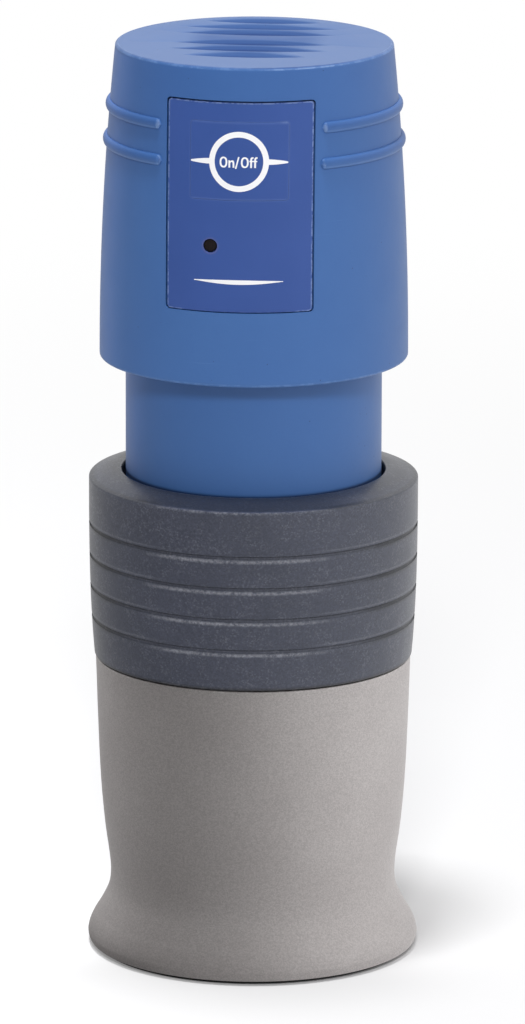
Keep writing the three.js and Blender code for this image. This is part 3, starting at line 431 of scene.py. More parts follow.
def panelFoil():
    made = Finish("panel_foil")
    cloud = made.noise(18, 3)
    grain = made.noise(0.3)
    rub = made.noise(1.1, 3, 0.7, shift=4)
    touch = made.noise(9, 3, shift=8).rise(0.5, 0.75)
    side, foot, top = key["width"] / 2, key["bottom"], key["top"]
    inner = abs(made.x).fall(*panelWearAndHighlights["keySpan"])
    low = (made.z - foot).fall(*panelWearAndHighlights["aboveKeyFoot"])
    # edge wear, held back on the key's lower edges and the panel's lower middle so that the key's top edge stays light:
    # wear and painted highlight together
    worn = made.edge.rise(0.2, 0.9) * rub.rise(0.38, 0.60) * (1 - inner * low * 0.85)
    drop, reach = panelWearAndHighlights["halo"]
    # painted highlight: a pale ring round the status light's hole
    halo = made.length(made.x - lightPlace, made.z - panel["lightHeight"]).near(panel["lightHole"] + drop, reach)
    ahead = abs(made.x).fall(*panelWearAndHighlights["keyFront"])
    corner = made.x.rise(*panelWearAndHighlights["keyCorner"])
    shift, reach = panelWearAndHighlights["topLine"]
    # painted highlights: light lines along the key's top, foot and sides, strongest at the top right
    shine = made.z.near(top + shift, reach) * ahead * (0.11 + corner * 0.25)
    shift, reach = panelWearAndHighlights["lowLine"]
    shine = shine + made.z.near(foot + shift, reach) * ahead * 0.14
    beside = made.z.rise(foot, foot + 0.4) * made.z.fall(top - 0.4, top)
    left, right = panelWearAndHighlights["sideLines"]
    shine = shine + (made.x.near(-side, left) * 0.09 + made.x.near(side, right) * 0.13) * beside
    colour = made.coated(
        panelTone["body"],
        (cloud.rise(0.3, 0.7) * 0.35, panelTone["deep"]),
        (worn * 0.75 + shine, panelTone["pale"]),
        (halo * 0.4, panelTone["halo"]),
    )
    colour = made.shade(colour, 0.97 + grain * 0.06)
    roughness = 0.42 + grain * 0.08 - touch * 0.06 - worn * 0.05
    made.done(colour, roughness, grain + cloud * 2, depth=0.006)


# Bands beside each groove, as drop below its middle and reach
grooveBands = {
    "lip": (0.72, 0.75),
    "lift": (-0.35, 0.7),
    "brow": (-1.35, 0.4),
    "floor": (-0.4, 0.6),
    "foot": (0.25, 0.95),
}


def besideGrooves(made, drop, reach):  # 1 at a height under each groove's middle, 0 from reach on
    first, pitch = collar["top"] - collar["topDrop"] - drop, collar["groovePitch"]
    steps = made.maths("ROUND", (first - made.z) / pitch).atLeast(0.0).atMost(collar["grooveCount"] - 1.0)
    return (made.z + steps * pitch).near(first, reach)


def collarPlastic():
    made = Finish("collar_plastic")
    grain = made.noise(0.5, 3, 0.65)
    fleck = made.flecks(0.36)
    spark = made.flecks(0.38).rise(0.62, 1.0) * made.noise(5, shift=3).rise(0.3, 0.6)
    rub = made.noise(0.9, 3, 0.7, shift=6)
    pit = made.spots(2.6, 0.12, 0.075)
    front, shadedFront, side = made.forward.rise(0.79, 0.94), made.forward.rise(0.62, 0.88), made.forward.fall(0.48, 0.74)
    band = {name: besideGrooves(made, *spot) for name, spot in grooveBands.items()}
    # edge wear, kept mostly to the front, where it also stands as the rim's painted highlight
    worn = made.edge.rise(0.3, 0.95) * rub.rise(0.40, 0.62) * (0.06 + front * 0.94)
    # painted highlight: a light line just under each groove, on the front only
    lip = band["lip"] * rub.rise(0.3, 0.62) * (0.03 + front * 0.97)
    # painted highlights: a light band just above each groove away from the sides, and another higher up away from the
    # front
    lift, brow = band["lift"] * (1 - side), band["brow"] * (1 - front)
    # painted shade in and just under the grooves, on the sides
    hollow = (band["floor"] * 0.36 + band["foot"] * 0.6) * side
    # painted shade: a dark line along the top edge, away from the front
    topEdgeShade = made.z.near(collar["top"] + 0.1, 0.5) * (1 - front)
    # painted shade: the bottom edge, over the gap to the base, is painted dark
    bottomGapShade = (made.z - collar["bottom"]).fall(0.3, 1.0)
    # painted shade: the sloping top is painted darker, more so at the front under the head
    rim = (made.z - collar["top"]).rise(0.0, 0.4) * made.edge.fall(0.0, 0.5)
    colour = made.coated(
        collarTone["body"],
        (made.clouds(16) * 0.30, collarTone["deep"]),
        (spark * 0.14 + worn * 0.34 + lip * 0.6 + lift * 0.13 + brow * 0.16, collarTone["pale"]),
        # the pit tone darkens the real pits and carries all the painted shade above
        (pit * 0.85 + hollow + rim * (0.32 + shadedFront * 0.33) + topEdgeShade * 0.6 + bottomGapShade * 0.7, collarTone["pit"]),
    )
    colour = made.shade(colour, 0.60 + fleck * 0.32 + grain * 0.42)
    roughness = 0.46 + grain * 0.16 - spark * 0.12 - worn * 0.10
    height = grain + fleck * 0.35 - pit * 1.5
    made.done(colour, roughness, height, depth=0.060, coat_weight=0.5, coat_roughness=0.32)


darkerFoot = (3.0, 17.0)  # heights between which the base's darker foot fades out


def basePaint():
    made = Finish("base_paint")
    grain = made.noise(0.34, 2, 0.6)
    fleck = made.flecks(0.27)
    rub = made.noise(1.6, 3, 0.7, shift=4)
    worn = made.edge.rise(0.2, 0.9) * rub.rise(0.45, 0.65)
    dust = made.noise(5.5, 4, 0.6, shift=9)
    # darker towards the foot, in patches; painted light: less dark on the right, where the light falls
    foot = made.z.fall(*darkerFoot) * (0.22 + dust * 0.4 - made.rightward.rise(-0.7, 0.9) * 0.32)
    patches = made.clouds(42) * 0.30
    colour = made.coated(baseTone["body"], (patches + foot, baseTone["deep"]), (worn * 0.5, baseTone["pale"]))
    colour = made.shade(colour, 0.82 + fleck * 0.24 + grain * 0.14)
    roughness = 0.46 + grain * 0.12 + dust * 0.05
    made.done(colour, roughness, grain + fleck * 0.25, depth=0.020, metallic=0.85)


def blackPlastic():
    made = Finish("black_plastic")
    grain = made.noise(0.4, 3)
    worn = made.edge.rise(0.3, 0.9) * made.noise(1.5, 3, shift=2).rise(0.45, 0.65)
    colour = made.coated(ink(38, 39, 42), (made.clouds(12), ink(46, 47, 50)), (worn * 0.4, ink(82, 83, 86)))
    made.done(colour, 0.46 + grain * 0.14, grain, depth=0.02)


def rubber():
    made = Finish("rubber")
    grain = made.noise(0.35, 3, 0.7)
    dust = made.noise(6, 3).rise(0.45, 0.75) * 0.5
    colour = made.mix(dust, ink(32, 33, 34), ink(58, 57, 55))
    made.done(colour, 0.72 + grain * 0.14, grain, depth=0.03)


def steel(name="steel", tone=(190, 190, 188), rough=0.24, size=0.22, depth=0.004):
    made = Finish(name)
    rings = made.lathed(size, 4)
    broad = made.lathed(3.0, 2)
    hair = made.scratches(0.2, 16, 0.72, 1.0, 2)
    dull = made.noise(3, 4, 0.6, shift=3).rise(0.45, 0.8)
    low = ink(*(value * 0.86 for value in tone))
    colour = made.mix(made.clouds(9) * 0.5 + dull * 0.3, ink(*tone), low)
    colour = made.shade(colour, 0.95 + rings * 0.08)
    roughness = rough + rings * 0.12 + broad * 0.05 + dull * 0.08 + hair * 0.10 - made.edge.rise(0.3, 1) * 0.08
    made.done(colour, roughness, rings + broad * 2 - hair, depth, metallic=1.0)


def castAluminium():
    made = Finish("cast_aluminium")
    grain = made.noise(0.9, 4, 0.6)
    colour = made.mix(made.clouds(11), ink(168, 169, 170), ink(142, 143, 146))
    made.done(colour, 0.46 + grain * 0.2, grain, depth=0.05, metallic=0.9)


def stackedSteel():  # thin sheets, pressed into a stack
    made = Finish("hard_steel")
    sheet = made.maths("PINGPONG", made.z, 0.25) * 4
    cloud = made.noise(5, 4, 0.6)
    rust = made.noise(1.8, 3, 0.6, shift=3).rise(0.62, 0.78)
    colour = made.coated(ink(122, 122, 124), (cloud.rise(0.3, 0.7), ink(92, 93, 96)), (rust * 0.35, ink(96, 72, 56)))
    height = sheet.rise(0, 0.35) + cloud * 0.3
    made.done(colour, 0.38 + cloud * 0.2, height, depth=0.03, metallic=0.9)


def brass():
    made = Finish("brass")
    grain = made.noise(0.5, 3)
    stain = made.noise(4, 4, 0.6, shift=2).rise(0.45, 0.75)
    colour = made.mix(stain * 0.6, ink(196, 162, 92), ink(142, 108, 58))
    made.done(colour, 0.28 + grain * 0.14 + stain * 0.1, grain, depth=0.01, metallic=1.0)


def copperWire():
    made = Finish("copper")
    angle = made.maths("ARCTAN2", made.x, made.y)
    strand = made.maths("PINGPONG", made.radius + made.z * 0.6 + angle * 3, 0.22) * 4.5
    stain = made.noise(3.5, 3, shift=2)
    colour = made.mix(stain.rise(0.35, 0.7), ink(186, 104, 58), ink(138, 66, 38))
    # painted shade: the colour darkens into the hollows between the wire's turns
    colour = made.shade(colour, 0.55 + strand * 0.5)
    made.done(colour, 0.26 + stain * 0.14, strand, depth=0.10, metallic=0.7, coat_weight=0.4)


def carbon():
    made = Finish("carbon")
    grain = made.noise(0.3, 4, 0.7)
    streak = made.noise(0.25, vector=made.vector(made.x * 0.1, made.y, made.z))
    colour = made.mix(grain, ink(30, 30, 32), ink(62, 62, 66))
    made.done(colour, 0.38 + streak * 0.3, grain + streak, depth=0.02, metallic=0.2)


def boardLaminate():
    made = Finish("board_laminate")
    weave = made.maths("PINGPONG", made.x, 0.2) + made.maths("PINGPONG", made.z, 0.2)
    squares = made.vector(made.maths("SNAP", made.x, 1.3), made.maths("SNAP", made.z, 1.3), 0.0)
    tracks = made.noise(2.6, 0, vector=squares)
    track = tracks.rise(0.50, 0.53) * tracks.fall(0.60, 0.63)
    pad = made.spots(2.54, 0.35, 0.22)
    colour = made.coated(ink(34, 92, 58), (track * 0.6, ink(70, 132, 82)), (pad, ink(196, 190, 176)))
    made.done(colour, 0.34 + weave * 0.3, track + pad * 0.6 + weave * 0.2, depth=0.04)


def capacitorCase():
    made = Finish("capacitor_case")
    grain = made.noise(0.6, 3)
    cloud = made.noise(8, 3)
    colour = made.mix(cloud.rise(0.3, 0.7), ink(206, 172, 62), ink(186, 150, 48))
    made.done(colour, 0.34 + grain * 0.1, grain + cloud * 2, depth=0.02)


def darkLens():
    made = Finish("dark_lens")
    swirl = made.noise(0.8, 3)
    colour = made.mix(swirl, ink(20, 18, 20), ink(34, 26, 28))
    made.done(colour, 0.22 + swirl * 0.08, swirl, depth=0.004, specular_ior_level=0.25)


def whitePrint():
    made = Finish("white_print")
    grain = made.noise(0.25)
    thin = made.noise(0.8, 3, 0.6, shift=3).rise(0.66, 0.8)
    colour = made.mix(thin * 0.3, ink(240, 240, 242), ink(190, 196, 214))
    made.done(colour, 0.42 + grain * 0.12, grain, depth=0.004)


plainFinishes = (
    headPlastic, panelFoil, collarPlastic, basePaint, blackPlastic, rubber, steel, castAluminium, stackedSteel, brass,
    copperWire, carbon, boardLaminate, capacitorCase, darkLens, whitePrint,
)
for make in plainFinishes:
    make()
steel("ground_steel", (172, 173, 174), 0.20, 0.12, 0.003)
print("finishes made:", len(finishes))


# Meshes
def meshFrom(name, points, faces, edges=None):  # millimetres in, metres out, faces turned outwards
    mesh = bpy.data.meshes.new(name)
    mesh.from_pydata([tuple(value * mm for value in point) for point in points], [], faces)
    if edges is not None:
        mesh.attributes.new("edge", "FLOAT", "POINT").data.foreach_set("value", np.array(edges, np.float32))
    work = bmesh.new()
    work.from_mesh(mesh)
    bmesh.ops.remove_doubles(work, verts=work.verts, dist=1e-8)
    bmesh.ops.recalc_face_normals(work, faces=work.faces)
    work.to_mesh(mesh)
    work.free()
    return mesh


def baked(shape):  # the modifiers' result as a plain mesh
    bpy.context.view_layer.update()
    graph = bpy.context.evaluated_depsgraph_get()
    mesh = bpy.data.meshes.new_from_object(shape.evaluated_get(graph))
    shape.modifiers.clear()
    shape.data = mesh
    return shape


def spotsAndEdges(mesh):  # each point's place in micrometres, and its edge value
    spots = np.empty(len(mesh.vertices) * 3, np.float32)
    values = np.zeros(len(mesh.vertices), np.float32)
    mesh.vertices.foreach_get("co", spots)
    if "edge" in mesh.attributes:
        mesh.attributes["edge"].data.foreach_get("value", values)
    return [tuple(spot) for spot in np.round(spots.reshape(-1, 3) * 1e6).astype(int).tolist()], values.tolist()


def carved(shape, *others, operation="DIFFERENCE"):  # points that the cut makes count as unworn
    known = {}
    for one in (shape, *others):
        known.update(zip(*spotsAndEdges(one.data)))
    for other in others:
        cut = shape.modifiers.new("cut", "BOOLEAN")
        cut.object, cut.operation, cut.solver = other, operation, "EXACT"
    baked(shape)
    for other in others:
        bpy.data.objects.remove(other)
    spots, _ = spotsAndEdges(shape.data)
    if "edge" in shape.data.attributes:
        shape.data.attributes.remove(shape.data.attributes["edge"])
    edges = shape.data.attributes.new("edge", "FLOAT", "POINT")
    edges.data.foreach_set("value", [known.get(spot, 0.0) for spot in spots])
    return shape


def place(shape, name, body, slot, *stands, finish=None, angle=28):  # the slot names the finish too
    shape.name = name
    mesh = shape.data
    mesh.name = name
    mesh.materials.clear()
    mesh.materials.append(finishes[finish or slot])
    mesh.polygons.foreach_set("use_smooth", [True] * len(mesh.polygons))
    mesh.set_sharp_from_angle(angle=math.radians(angle))
    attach(shape, body)
    if stands:
        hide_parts(*stands)


def softened(outline, fade=0.6, steps=5):  # (radius, height, rounding) corners to (radius, height, edge) points
    corners = [(Vector(corner[:2]), corner[2] if len(corner) > 2 else 0) for corner in outline]
    area = sum(a.x * b.y - b.x * a.y for (a, _), (b, _) in zip(corners, corners[1:] + corners[:1]))
    points = []
    for index, (here, rounding) in enumerate(corners):
        if not rounding:
            points.append((here.x, here.y, 0.0))
            continue
        back = corners[index - 1][0] - here
        ahead = corners[(index + 1) % len(corners)][0] - here
        half = back.angle(ahead) / 2
        reach = min(rounding / math.tan(half), 0.48 * back.length, 0.48 * ahead.length)
        radius = reach * math.tan(half)
        back.normalize()
        ahead.normalize()
        middle = here + (back + ahead).normalized() * radius / math.sin(half)
        turn = (-back.x * ahead.y + back.y * ahead.x) * (1 if area > 0 else -1)
        edge = 1.0 if turn > 0 else -1.0
        start, end = here + back * reach, here + ahead * reach
        first, last = start - middle, end - middle
        beyond = min(fade, reach * 0.04 + fade * 0.5)
        points.append((*(start + back * beyond), 0.0))
        sweep = math.pi - 2 * half
        for share in between(0, 1, steps):
            spot = first * math.sin(sweep * (1 - share)) + last * math.sin(sweep * share)
            points.append((*(middle + spot / math.sin(sweep)), edge))
        points.append((*(end + ahead * beyond), 0.0))
    return points


def turned(outline, segments=128, wave=None):  # a closed outline turned about Z
    points, faces, edges, rows = [], [], [], []
    for radius, height, edge in outline:
        if radius < 1e-6:
            rows.append([len(points)] * segments)
            points.append((0, 0, height))
            edges.append(edge)
            continue
        rows.append(list(range(len(points), len(points) + segments)))
        for index in range(segments):
            angle = 2 * math.pi * index / segments
            reach = radius + (wave(angle, radius, height) if wave else 0)
            points.append((reach * math.sin(angle), -reach * math.cos(angle), height))
            edges.append(edge)
    for row, following in zip(rows, rows[1:] + rows[:1]):
        for index in range(segments):
            after = (index + 1) % segments
            face = list(dict.fromkeys((row[index], row[after], following[after], following[index])))
            if len(face) > 2:
                faces.append(face)
    return addObject("turned", meshFrom("turned", points, faces, edges))


def cylinder(radius, low, high, segments):
    return turned([(0, low, 0), (radius, low, 0), (radius, high, 0), (0, high, 0)], segments)


def block(long, wide, low, high, middle=0.0):  # a box, long in X, wide in Y
    corners = [(middle + x * long / 2, y * wide / 2, z) for x in (-1, 1) for y in (-1, 1) for z in (low, high)]
    sides = [(0, 1, 3, 2), (4, 6, 7, 5), (0, 4, 5, 1), (2, 3, 7, 6), (0, 2, 6, 4), (1, 5, 7, 3)]
    return addObject("block", meshFrom("block", corners, sides))


def moved(shape, x=0.0, y=0.0, z=0.0, matrix=None):  # millimetres
    shape.data.transform(Matrix.Translation((x * mm, y * mm, z * mm)) @ (matrix or Matrix()))
    return shape


def laidDown(shape, x=0.0, z=0.0, front=True):  # from along Z to along Y, towards the front or the rear
    return moved(shape, x, 0.0, z, turnAbout("X", 90 if front else -90))


def between(low, high, count):
    return [low + (high - low) * index / count for index in range(count + 1)]


# Geometry Nodes trees with named sizes
class Blueprint(Tree):
    def __init__(self, name, sizes):
        super().__init__(bpy.data.node_groups.new(name, "GeometryNodeTree"))
        face = self.tree.interface
        face.new_socket("Mesh", in_out="INPUT", socket_type="NodeSocketGeometry")
        for label, value in sizes.items():
            kind = "NodeSocketInt" if isinstance(value, int) else "NodeSocketFloat"
            face.new_socket(label, in_out="INPUT", socket_type=kind).default_value = value
        face.new_socket("Finish", in_out="INPUT", socket_type="NodeSocketMaterial")
        face.new_socket("Mesh", in_out="OUTPUT", socket_type="NodeSocketGeometry")
        self.given = self.node("NodeGroupInput")

    def size(self, label):
        return self.given.also(label)

    def spot(self):  # x, y and z of each point
        return self.split(self.node("GeometryNodeInputPosition"))

    def row(self):  # as many points as the count, all at the origin
        sockets = {"Count": self.size("Count"), "Offset": (0, 0, 0)}
        return self.node("GeometryNodeMeshLine", {"mode": "OFFSET"}, sockets), self.node("GeometryNodeInputIndex")

    def shifted(self, geometry, **sockets):
        return self.node("GeometryNodeSetPosition", sockets={"Geometry": geometry, **sockets})

    def copies(self, points, instance, **sockets):
        named = {"Points": points, "Instance": instance, **sockets}
        return self.node("GeometryNodeInstanceOnPoints", sockets=named)

    def real(self, geometry):
        return self.node("GeometryNodeRealizeInstances", sockets={"Geometry": geometry})

    def edged(self, geometry, value=0.0):
        sockets = {"Geometry": geometry, "Name": "edge", "Value": value}
        return self.node("GeometryNodeStoreNamedAttribute", {"data_type": "FLOAT", "domain": "POINT"}, sockets)

    def ends(self, geometry):
        dressed = {"Geometry": self.real(geometry), "Material": self.size("Finish")}
        self.node("NodeGroupOutput", sockets={0: self.node("GeometryNodeSetMaterial", sockets=dressed)})
        return self

    def grown(self, start, finish, sizes):  # start is an object whose mesh goes in
        nodes = start.modifiers.new("nodes", "NODES")
        nodes.node_group = self.tree
        for item in self.tree.interface.items_tree:
            if item.in_out == "INPUT" and item.name in sizes:
                nodes[item.identifier] = sizes[item.name]
            elif item.in_out == "INPUT" and item.name == "Finish":
                nodes[item.identifier] = finishes[finish]
        return baked(start)


def circlePattern():  # what goes in, repeated about Z
    tree = Blueprint("repeat_in_a_circle", {"Count": 3, "Turn": 0.0, "Twist": 0.0, "Seed": 1})
    line, index = tree.row()
    angle = index * (2 * math.pi) / tree.size("Count") + tree.size("Turn")
    sockets = {2: -1.0, 3: 1.0, "Seed": tree.size("Seed")}
    jitter = tree.node("FunctionNodeRandomValue", {"data_type": "FLOAT"}, sockets, 1)
    turn = tree.vector(0.0, 0.0, angle + jitter * tree.size("Twist"))
    return tree.ends(tree.copies(line, tree.given, Rotation=turn))


def groovePattern():  # the cutter that goes in, repeated down a tapering wall
    tree = Blueprint("turned_grooves", {"Count": 4, "Pitch": 8.23, "First drop": 12.1, "Height": 47.0, "Taper": 0.033})
    line, index = tree.row()
    drop = index * tree.size("Pitch")
    points = tree.shifted(line, Offset=tree.vector(0.0, 0.0, drop * -mm))
    share = (drop + tree.size("First drop")) / tree.size("Height")
    narrow = 1 - tree.size("Taper") * share ** 3.0
    copies = tree.copies(points, tree.given, Scale=tree.vector(narrow, narrow, 1.0))
    return tree.ends(tree.edged(tree.real(copies)))


def flutePattern():  # a scoop on each point that goes in, as long as the point says
    tree = Blueprint("grip_flutes", {"Width": 6.9, "Bulge": 0.34, "Depth": 1.0, "Lean": -0.5})
    blank = tree.node("GeometryNodeMeshUVSphere", sockets={"Segments": 32, "Rings": 40, "Radius": 1.0})
    side, up, along = tree.spot()
    spread = tree.length(side, up)
    across, rise = side / spread, up / spread
    share = 1 - along * along
    leant = across + tree.size("Lean") * (1 - across * across)
    y = (leant + tree.size("Bulge")) * share * tree.size("Width") * (mm / 2)
    hollow = rise * rise * share * tree.size("Depth") * -mm
    z = hollow * (rise < 0) + rise * (rise > 0) * 2 * mm
    scoop = tree.shifted(blank, Position=tree.vector(along, y, z))
    reach = tree.node("GeometryNodeInputNamedAttribute", {"data_type": "FLOAT"}, {"Name": "reach"})
    copies = tree.copies(tree.given, scoop, Scale=tree.vector(reach, 1.0, 1.0))
    return tree.ends(tree.edged(tree.real(copies)))


def ribPattern():  # a rounded bar around the back, from one side of the panel to the other
    tree = Blueprint("side_rib", {"Radius": 37.0, "Height": 212.0, "End angle": 33.0, "Width": 2.9, "Proud": 1.05})
    radius, half = tree.size("Radius") * mm, tree.size("Width") * (mm / 2)
    lead = tree.size("End angle") * (math.pi / 180)
    sweep = 2 * math.pi - 2 * lead
    sockets = {"Resolution": 420, "Radius": radius, "Start Angle": lead - math.pi / 2, "Sweep Angle": sweep}
    arc = tree.node("GeometryNodeCurveArc", {"mode": "RADIUS"}, sockets)
    arc = tree.shifted(arc, Offset=tree.vector(0.0, 0.0, tree.size("Height") * mm))
    walked = tree.node("GeometryNodeSplineParameter").also("Length")
    end = walked.atMost(radius * sweep - walked) / half
    short = 1 - end.atMost(1.0)
    swell = (1 - short * short).atLeast(0.0001) ** 0.5
    arc = tree.node("GeometryNodeSetCurveRadius", sockets={"Curve": arc, "Radius": swell})
    arc = tree.edged(arc, (short * 3).atMost(0.93))
    ring = tree.node("GeometryNodeCurvePrimitiveCircle", {"mode": "RADIUS"}, {"Resolution": 20, "Radius": 1.0})
    x, y, _ = tree.spot()
    ring = tree.shifted(ring, Position=tree.vector(x * tree.size("Proud") * mm, y * tree.size("Width") * (mm / 2), 0.0))
    bar = tree.node("GeometryNodeCurveToMesh", sockets={"Curve": arc, "Profile Curve": ring, "Fill Caps": True})
    if "Scale" in bar.socket.node.inputs:  # later versions take the narrowing here
        tree.tree.links.new(swell.socket, bar.socket.node.inputs["Scale"])
    return tree.ends(bar)


circles, grooves, flutes, ribs = circlePattern(), groovePattern(), flutePattern(), ribPattern()
print("patterns ready")


# Loops and plates on the head's front
def around(x, z, across, along, angles):
    return [(x + across * math.cos(angle), z + along * math.sin(angle)) for angle in angles]


def roundedLoop(width, bottom, top, corner):
    def loop(grow=0.0):
        half, low, high = width / 2 + grow, bottom - grow, top + grow
        bend = max(corner + grow, 0.03)
        right, upper, lower = half - bend, high - bend, low + bend
        points = []
        for quarter, (x, z) in enumerate(((right, upper), (-right, upper), (-right, lower), (right, lower))):
            points += around(x, z, bend, bend, [math.pi / 2 * (quarter + share) for share in between(0, 1, 7)])
        return points
    return loop


def circleLoop(x, z, radius, count=48):
    angles = [2 * math.pi * index / count for index in range(count)]
    return lambda grow=0.0: around(x, z, radius + grow, radius + grow, angles)


plate = {  # how finely a plate follows the wall, and how its edges round
    "columns": (-18, 18.1, 1.2),
    "rows": (178, 230, 4.0),
    "bendSteps": 4,
    "fade": 1.5,
    "holeWear": 0.15,
}


def bendRows(bend, thickness):  # (shrink, depth, is the edge) of each ring over a plate's edge
    rows = [(0.0, thickness, 0)]
    if bend:
        fade = bend * plate["fade"]
        rows.append((0.0, bend + fade, 0))
        for angle in between(0, math.pi / 2, plate["bendSteps"]):
            rows.append((bend * (1 - math.cos(angle)), bend * (1 - math.sin(angle)), 1))
        rows.append((bend + fade, 0.0, 0))
    else:
        rows.append((0.0, 0.0, 0))
    return rows


def curvedPlate(outer, holes, inset, thickness, rounding=0.0, holeRounding=0.0, wear=1.0):  # follows the head's front
    work = bmesh.new()
    edgeLayer = work.verts.layers.float.new("edge")
    fronts, backs = [], []
    loops = [(outer, -1, rounding, wear)] + [(hole, 1, holeRounding, plate["holeWear"]) for hole in holes]
    for loop, inward, bend, worn in loops:
        rows = []
        for shrink, depth, onEdge in bendRows(bend, thickness):
            row = [work.verts.new((x, depth, z)) for x, z in loop(inward * shrink)]
            for point in row:
                point[edgeLayer] = worn * onEdge
            rows.append(row)
        for row, following in zip(rows, rows[1:]):
            for index in range(len(row)):
                after = (index + 1) % len(row)
                work.faces.new((row[index], row[after], following[after], following[index]))
        backs.append(rows[0])
        fronts.append(rows[-1])
    for rows in (fronts, backs):
        sides = [work.edges.get((row[index - 1], row[index])) for row in rows for index in range(len(row))]
        bmesh.ops.triangle_fill(work, use_beauty=True, edges=sides)
    cuts = [((x, 0, 0), (1, 0, 0)) for x in np.arange(*plate["columns"])]
    cuts += [((0, 0, z), (0, 0, 1)) for z in np.arange(*plate["rows"])]
    for spot, normal in cuts:
        whole = work.verts[:] + work.edges[:] + work.faces[:]
        bmesh.ops.bisect_plane(work, geom=whole, plane_co=spot, plane_no=normal)
    for point in work.verts:
        x, depth, z = point.co
        reach = headRadiusAt(z) - inset
        point.co = Vector((x, depth - math.sqrt(reach * reach - x * x), z)) * mm
    bmesh.ops.recalc_face_normals(work, faces=work.faces)
    mesh = bpy.data.meshes.new("plate")
    work.to_mesh(mesh)
    work.free()
    return addObject("plate", mesh)


def rod(radius, near, far, x=0.0, z=0.0, front=True):
    return laidDown(cylinder(radius, near, far, 48), x, z, front)


flute = {
    "pitch": 8.3,
    "land": 5.05,
    "offset": 4.0,
    "shift": -0.5,
    "width": 7.8,
    "bulge": 0.40,
    "depth": 1.35,
    "lean": -0.5,
    "halfLengths": (15.2, 20.3, 20.6, 20.6, 20.3, 15.6),
}
panelLoop = roundedLoop(panel["width"], panel["bottom"], panel["top"], panel["corner"])
keyLoop = roundedLoop(key["width"], key["bottom"], key["top"], key["corner"])
lightLoop = circleLoop(lightPlace, panel["lightHeight"], panel["lightHole"])


def headBlank():
    low, high, wall, radius = head["bottom"], head["top"], head["wall"], head["radius"]
    ledge, ledgeLow, ledgeHigh = head["ledge"]
    inner, outer = head["footEdges"]
    crown = headRadiusAt(high)
    outline = [(radius - wall, low, inner), (radius, low, outer)]
    outline += [(headRadiusAt(z), z) for z in between(low + 2.2, high - 2.4, 30)]
    outline += [(crown, high, head["rim"]), (0, high), (0, high - wall), (crown - wall, high - wall, head["innerCove"])]
    outline += [(headRadiusAt(z) - wall, z) for z in between(high - wall - 4, ledgeHigh + 2, 8)]
    outline += [(headRadiusAt(ledgeHigh) - wall, ledgeHigh), (ledge, ledgeHigh), (ledge, ledgeLow)]
    return turned(softened([*outline, (radius - wall, ledgeLow)], fade=0.8), segments=240)


def gripFlutes():
    count = len(flute["halfLengths"])
    ranks = [(count - 1) / 2 - index for index in range(count)]
    across = [flute["offset"] + rank * flute["pitch"] + math.copysign(flute["land"] / 2, rank) for rank in ranks]
    mesh = bpy.data.meshes.new("flutes")
    mesh.from_pydata([(flute["shift"] * mm, y * mm, head["top"] * mm) for y in across], [], [])
    reaches = [half * mm for half in flute["halfLengths"]]
    mesh.attributes.new("reach", "FLOAT", "POINT").data.foreach_set("value", reaches)
    sizes = {name.title(): flute[name] for name in ("width", "bulge", "depth", "lean")}
    return flutes.grown(addObject("flutes", mesh), "head_plastic", sizes)


def sideRib(height, angle):
    sizes = {"Radius": headRadiusAt(height), "Height": height, "End angle": angle}
    sizes |= {"Width": rib["width"], "Proud": rib["proud"]}
    return ribs.grown(addObject("rib", bpy.data.meshes.new("rib")), "head_plastic", sizes)


def headHousing():
    spare = key["window"]
    keyWindow = roundedLoop(key["width"] + 2 * spare, key["bottom"] - spare, key["top"] + spare, key["corner"])
    shell = carved(
        headBlank(),
        gripFlutes(),
        curvedPlate(panelLoop, [], inset=-1.5, thickness=panel["pocket"] + 1.5),
        curvedPlate(keyWindow, [], inset=1.0, thickness=9.0),
        rod(panel["lightHole"], 30, 45, lightPlace, panel["lightHeight"]),
        rod(head["glandHole"], 30, 45, 0, head["glandHeight"], front=False),
    )
    bars = [sideRib(*spot) for spot in zip(rib["heights"], rib["endAngles"])]
    return carved(shell, *bars, operation="UNION")


place(headHousing(), "head_shell", "drive", "head_plastic", "head_housing", angle=22)
print("head shell made")


def frontPanel():
    gap, holes = panel["gap"], [keyLoop, lightLoop]
    width, low, high = panel["width"] - 2 * gap, panel["bottom"] + panel["lowGap"], panel["top"] - gap
    outer = roundedLoop(width, low, high, panel["corner"] - gap * 0.6)
    return curvedPlate(outer, holes, panel["inset"], panel["thickness"], panel["bevel"], panel["holeBevel"])


def onOffKey():
    gap = key["gap"]
    outer = roundedLoop(key["width"] - 2 * gap, key["bottom"] + gap, key["top"] - gap, key["corner"] - gap)
    cap = curvedPlate(outer, [], key["inset"], key["thickness"], key["bevel"], wear=key["wear"])
    return carved(cap, rod(*key["stem"], z=(key["bottom"] + key["top"]) / 2), operation="UNION")


place(frontPanel(), "panel_insert", "drive", "panel_foil", "front_panel")
place(onOffKey(), "key_cap", "on_off_key", "panel_foil", "on_off_key")
print("panel and key made")


# Printed marks
marks = {
    "thickness": 0.05,
    "height": 214.9,
    "outer": 7.6,
    "inner": 6.17,
    "tickEnd": 12.25,
    "tickTip": 0.15,
    "tickThick": (1.4, 0.4),
    "tickTaper": 1.7,
    "lift": 0.035,
    "tickLift": 0.004,
    "tickDroop": 0.16,
    "textLeft": -4.88,
    "textHeight": 2.68,
    "textBottom": 213.42,
    "textBold": (0.46, 0.3772),
    "ovalWidth": 1.98,
    "ovalOver": 0.03,
    "ovalBend": 0.86,
    "lineHalf": 11.3,
    "lineHeight": 184.75,
    "lineDroop": 0.3,
    "lineThick": (0.16, 1.15),
    "lineTaper": 1.2,
}


def polygonLoop(points):
    return lambda grow=0.0: points


def printed(points, inset, holes=()):
    return curvedPlate(polygonLoop(points), [polygonLoop(hole) for hole in holes], inset, marks["thickness"])


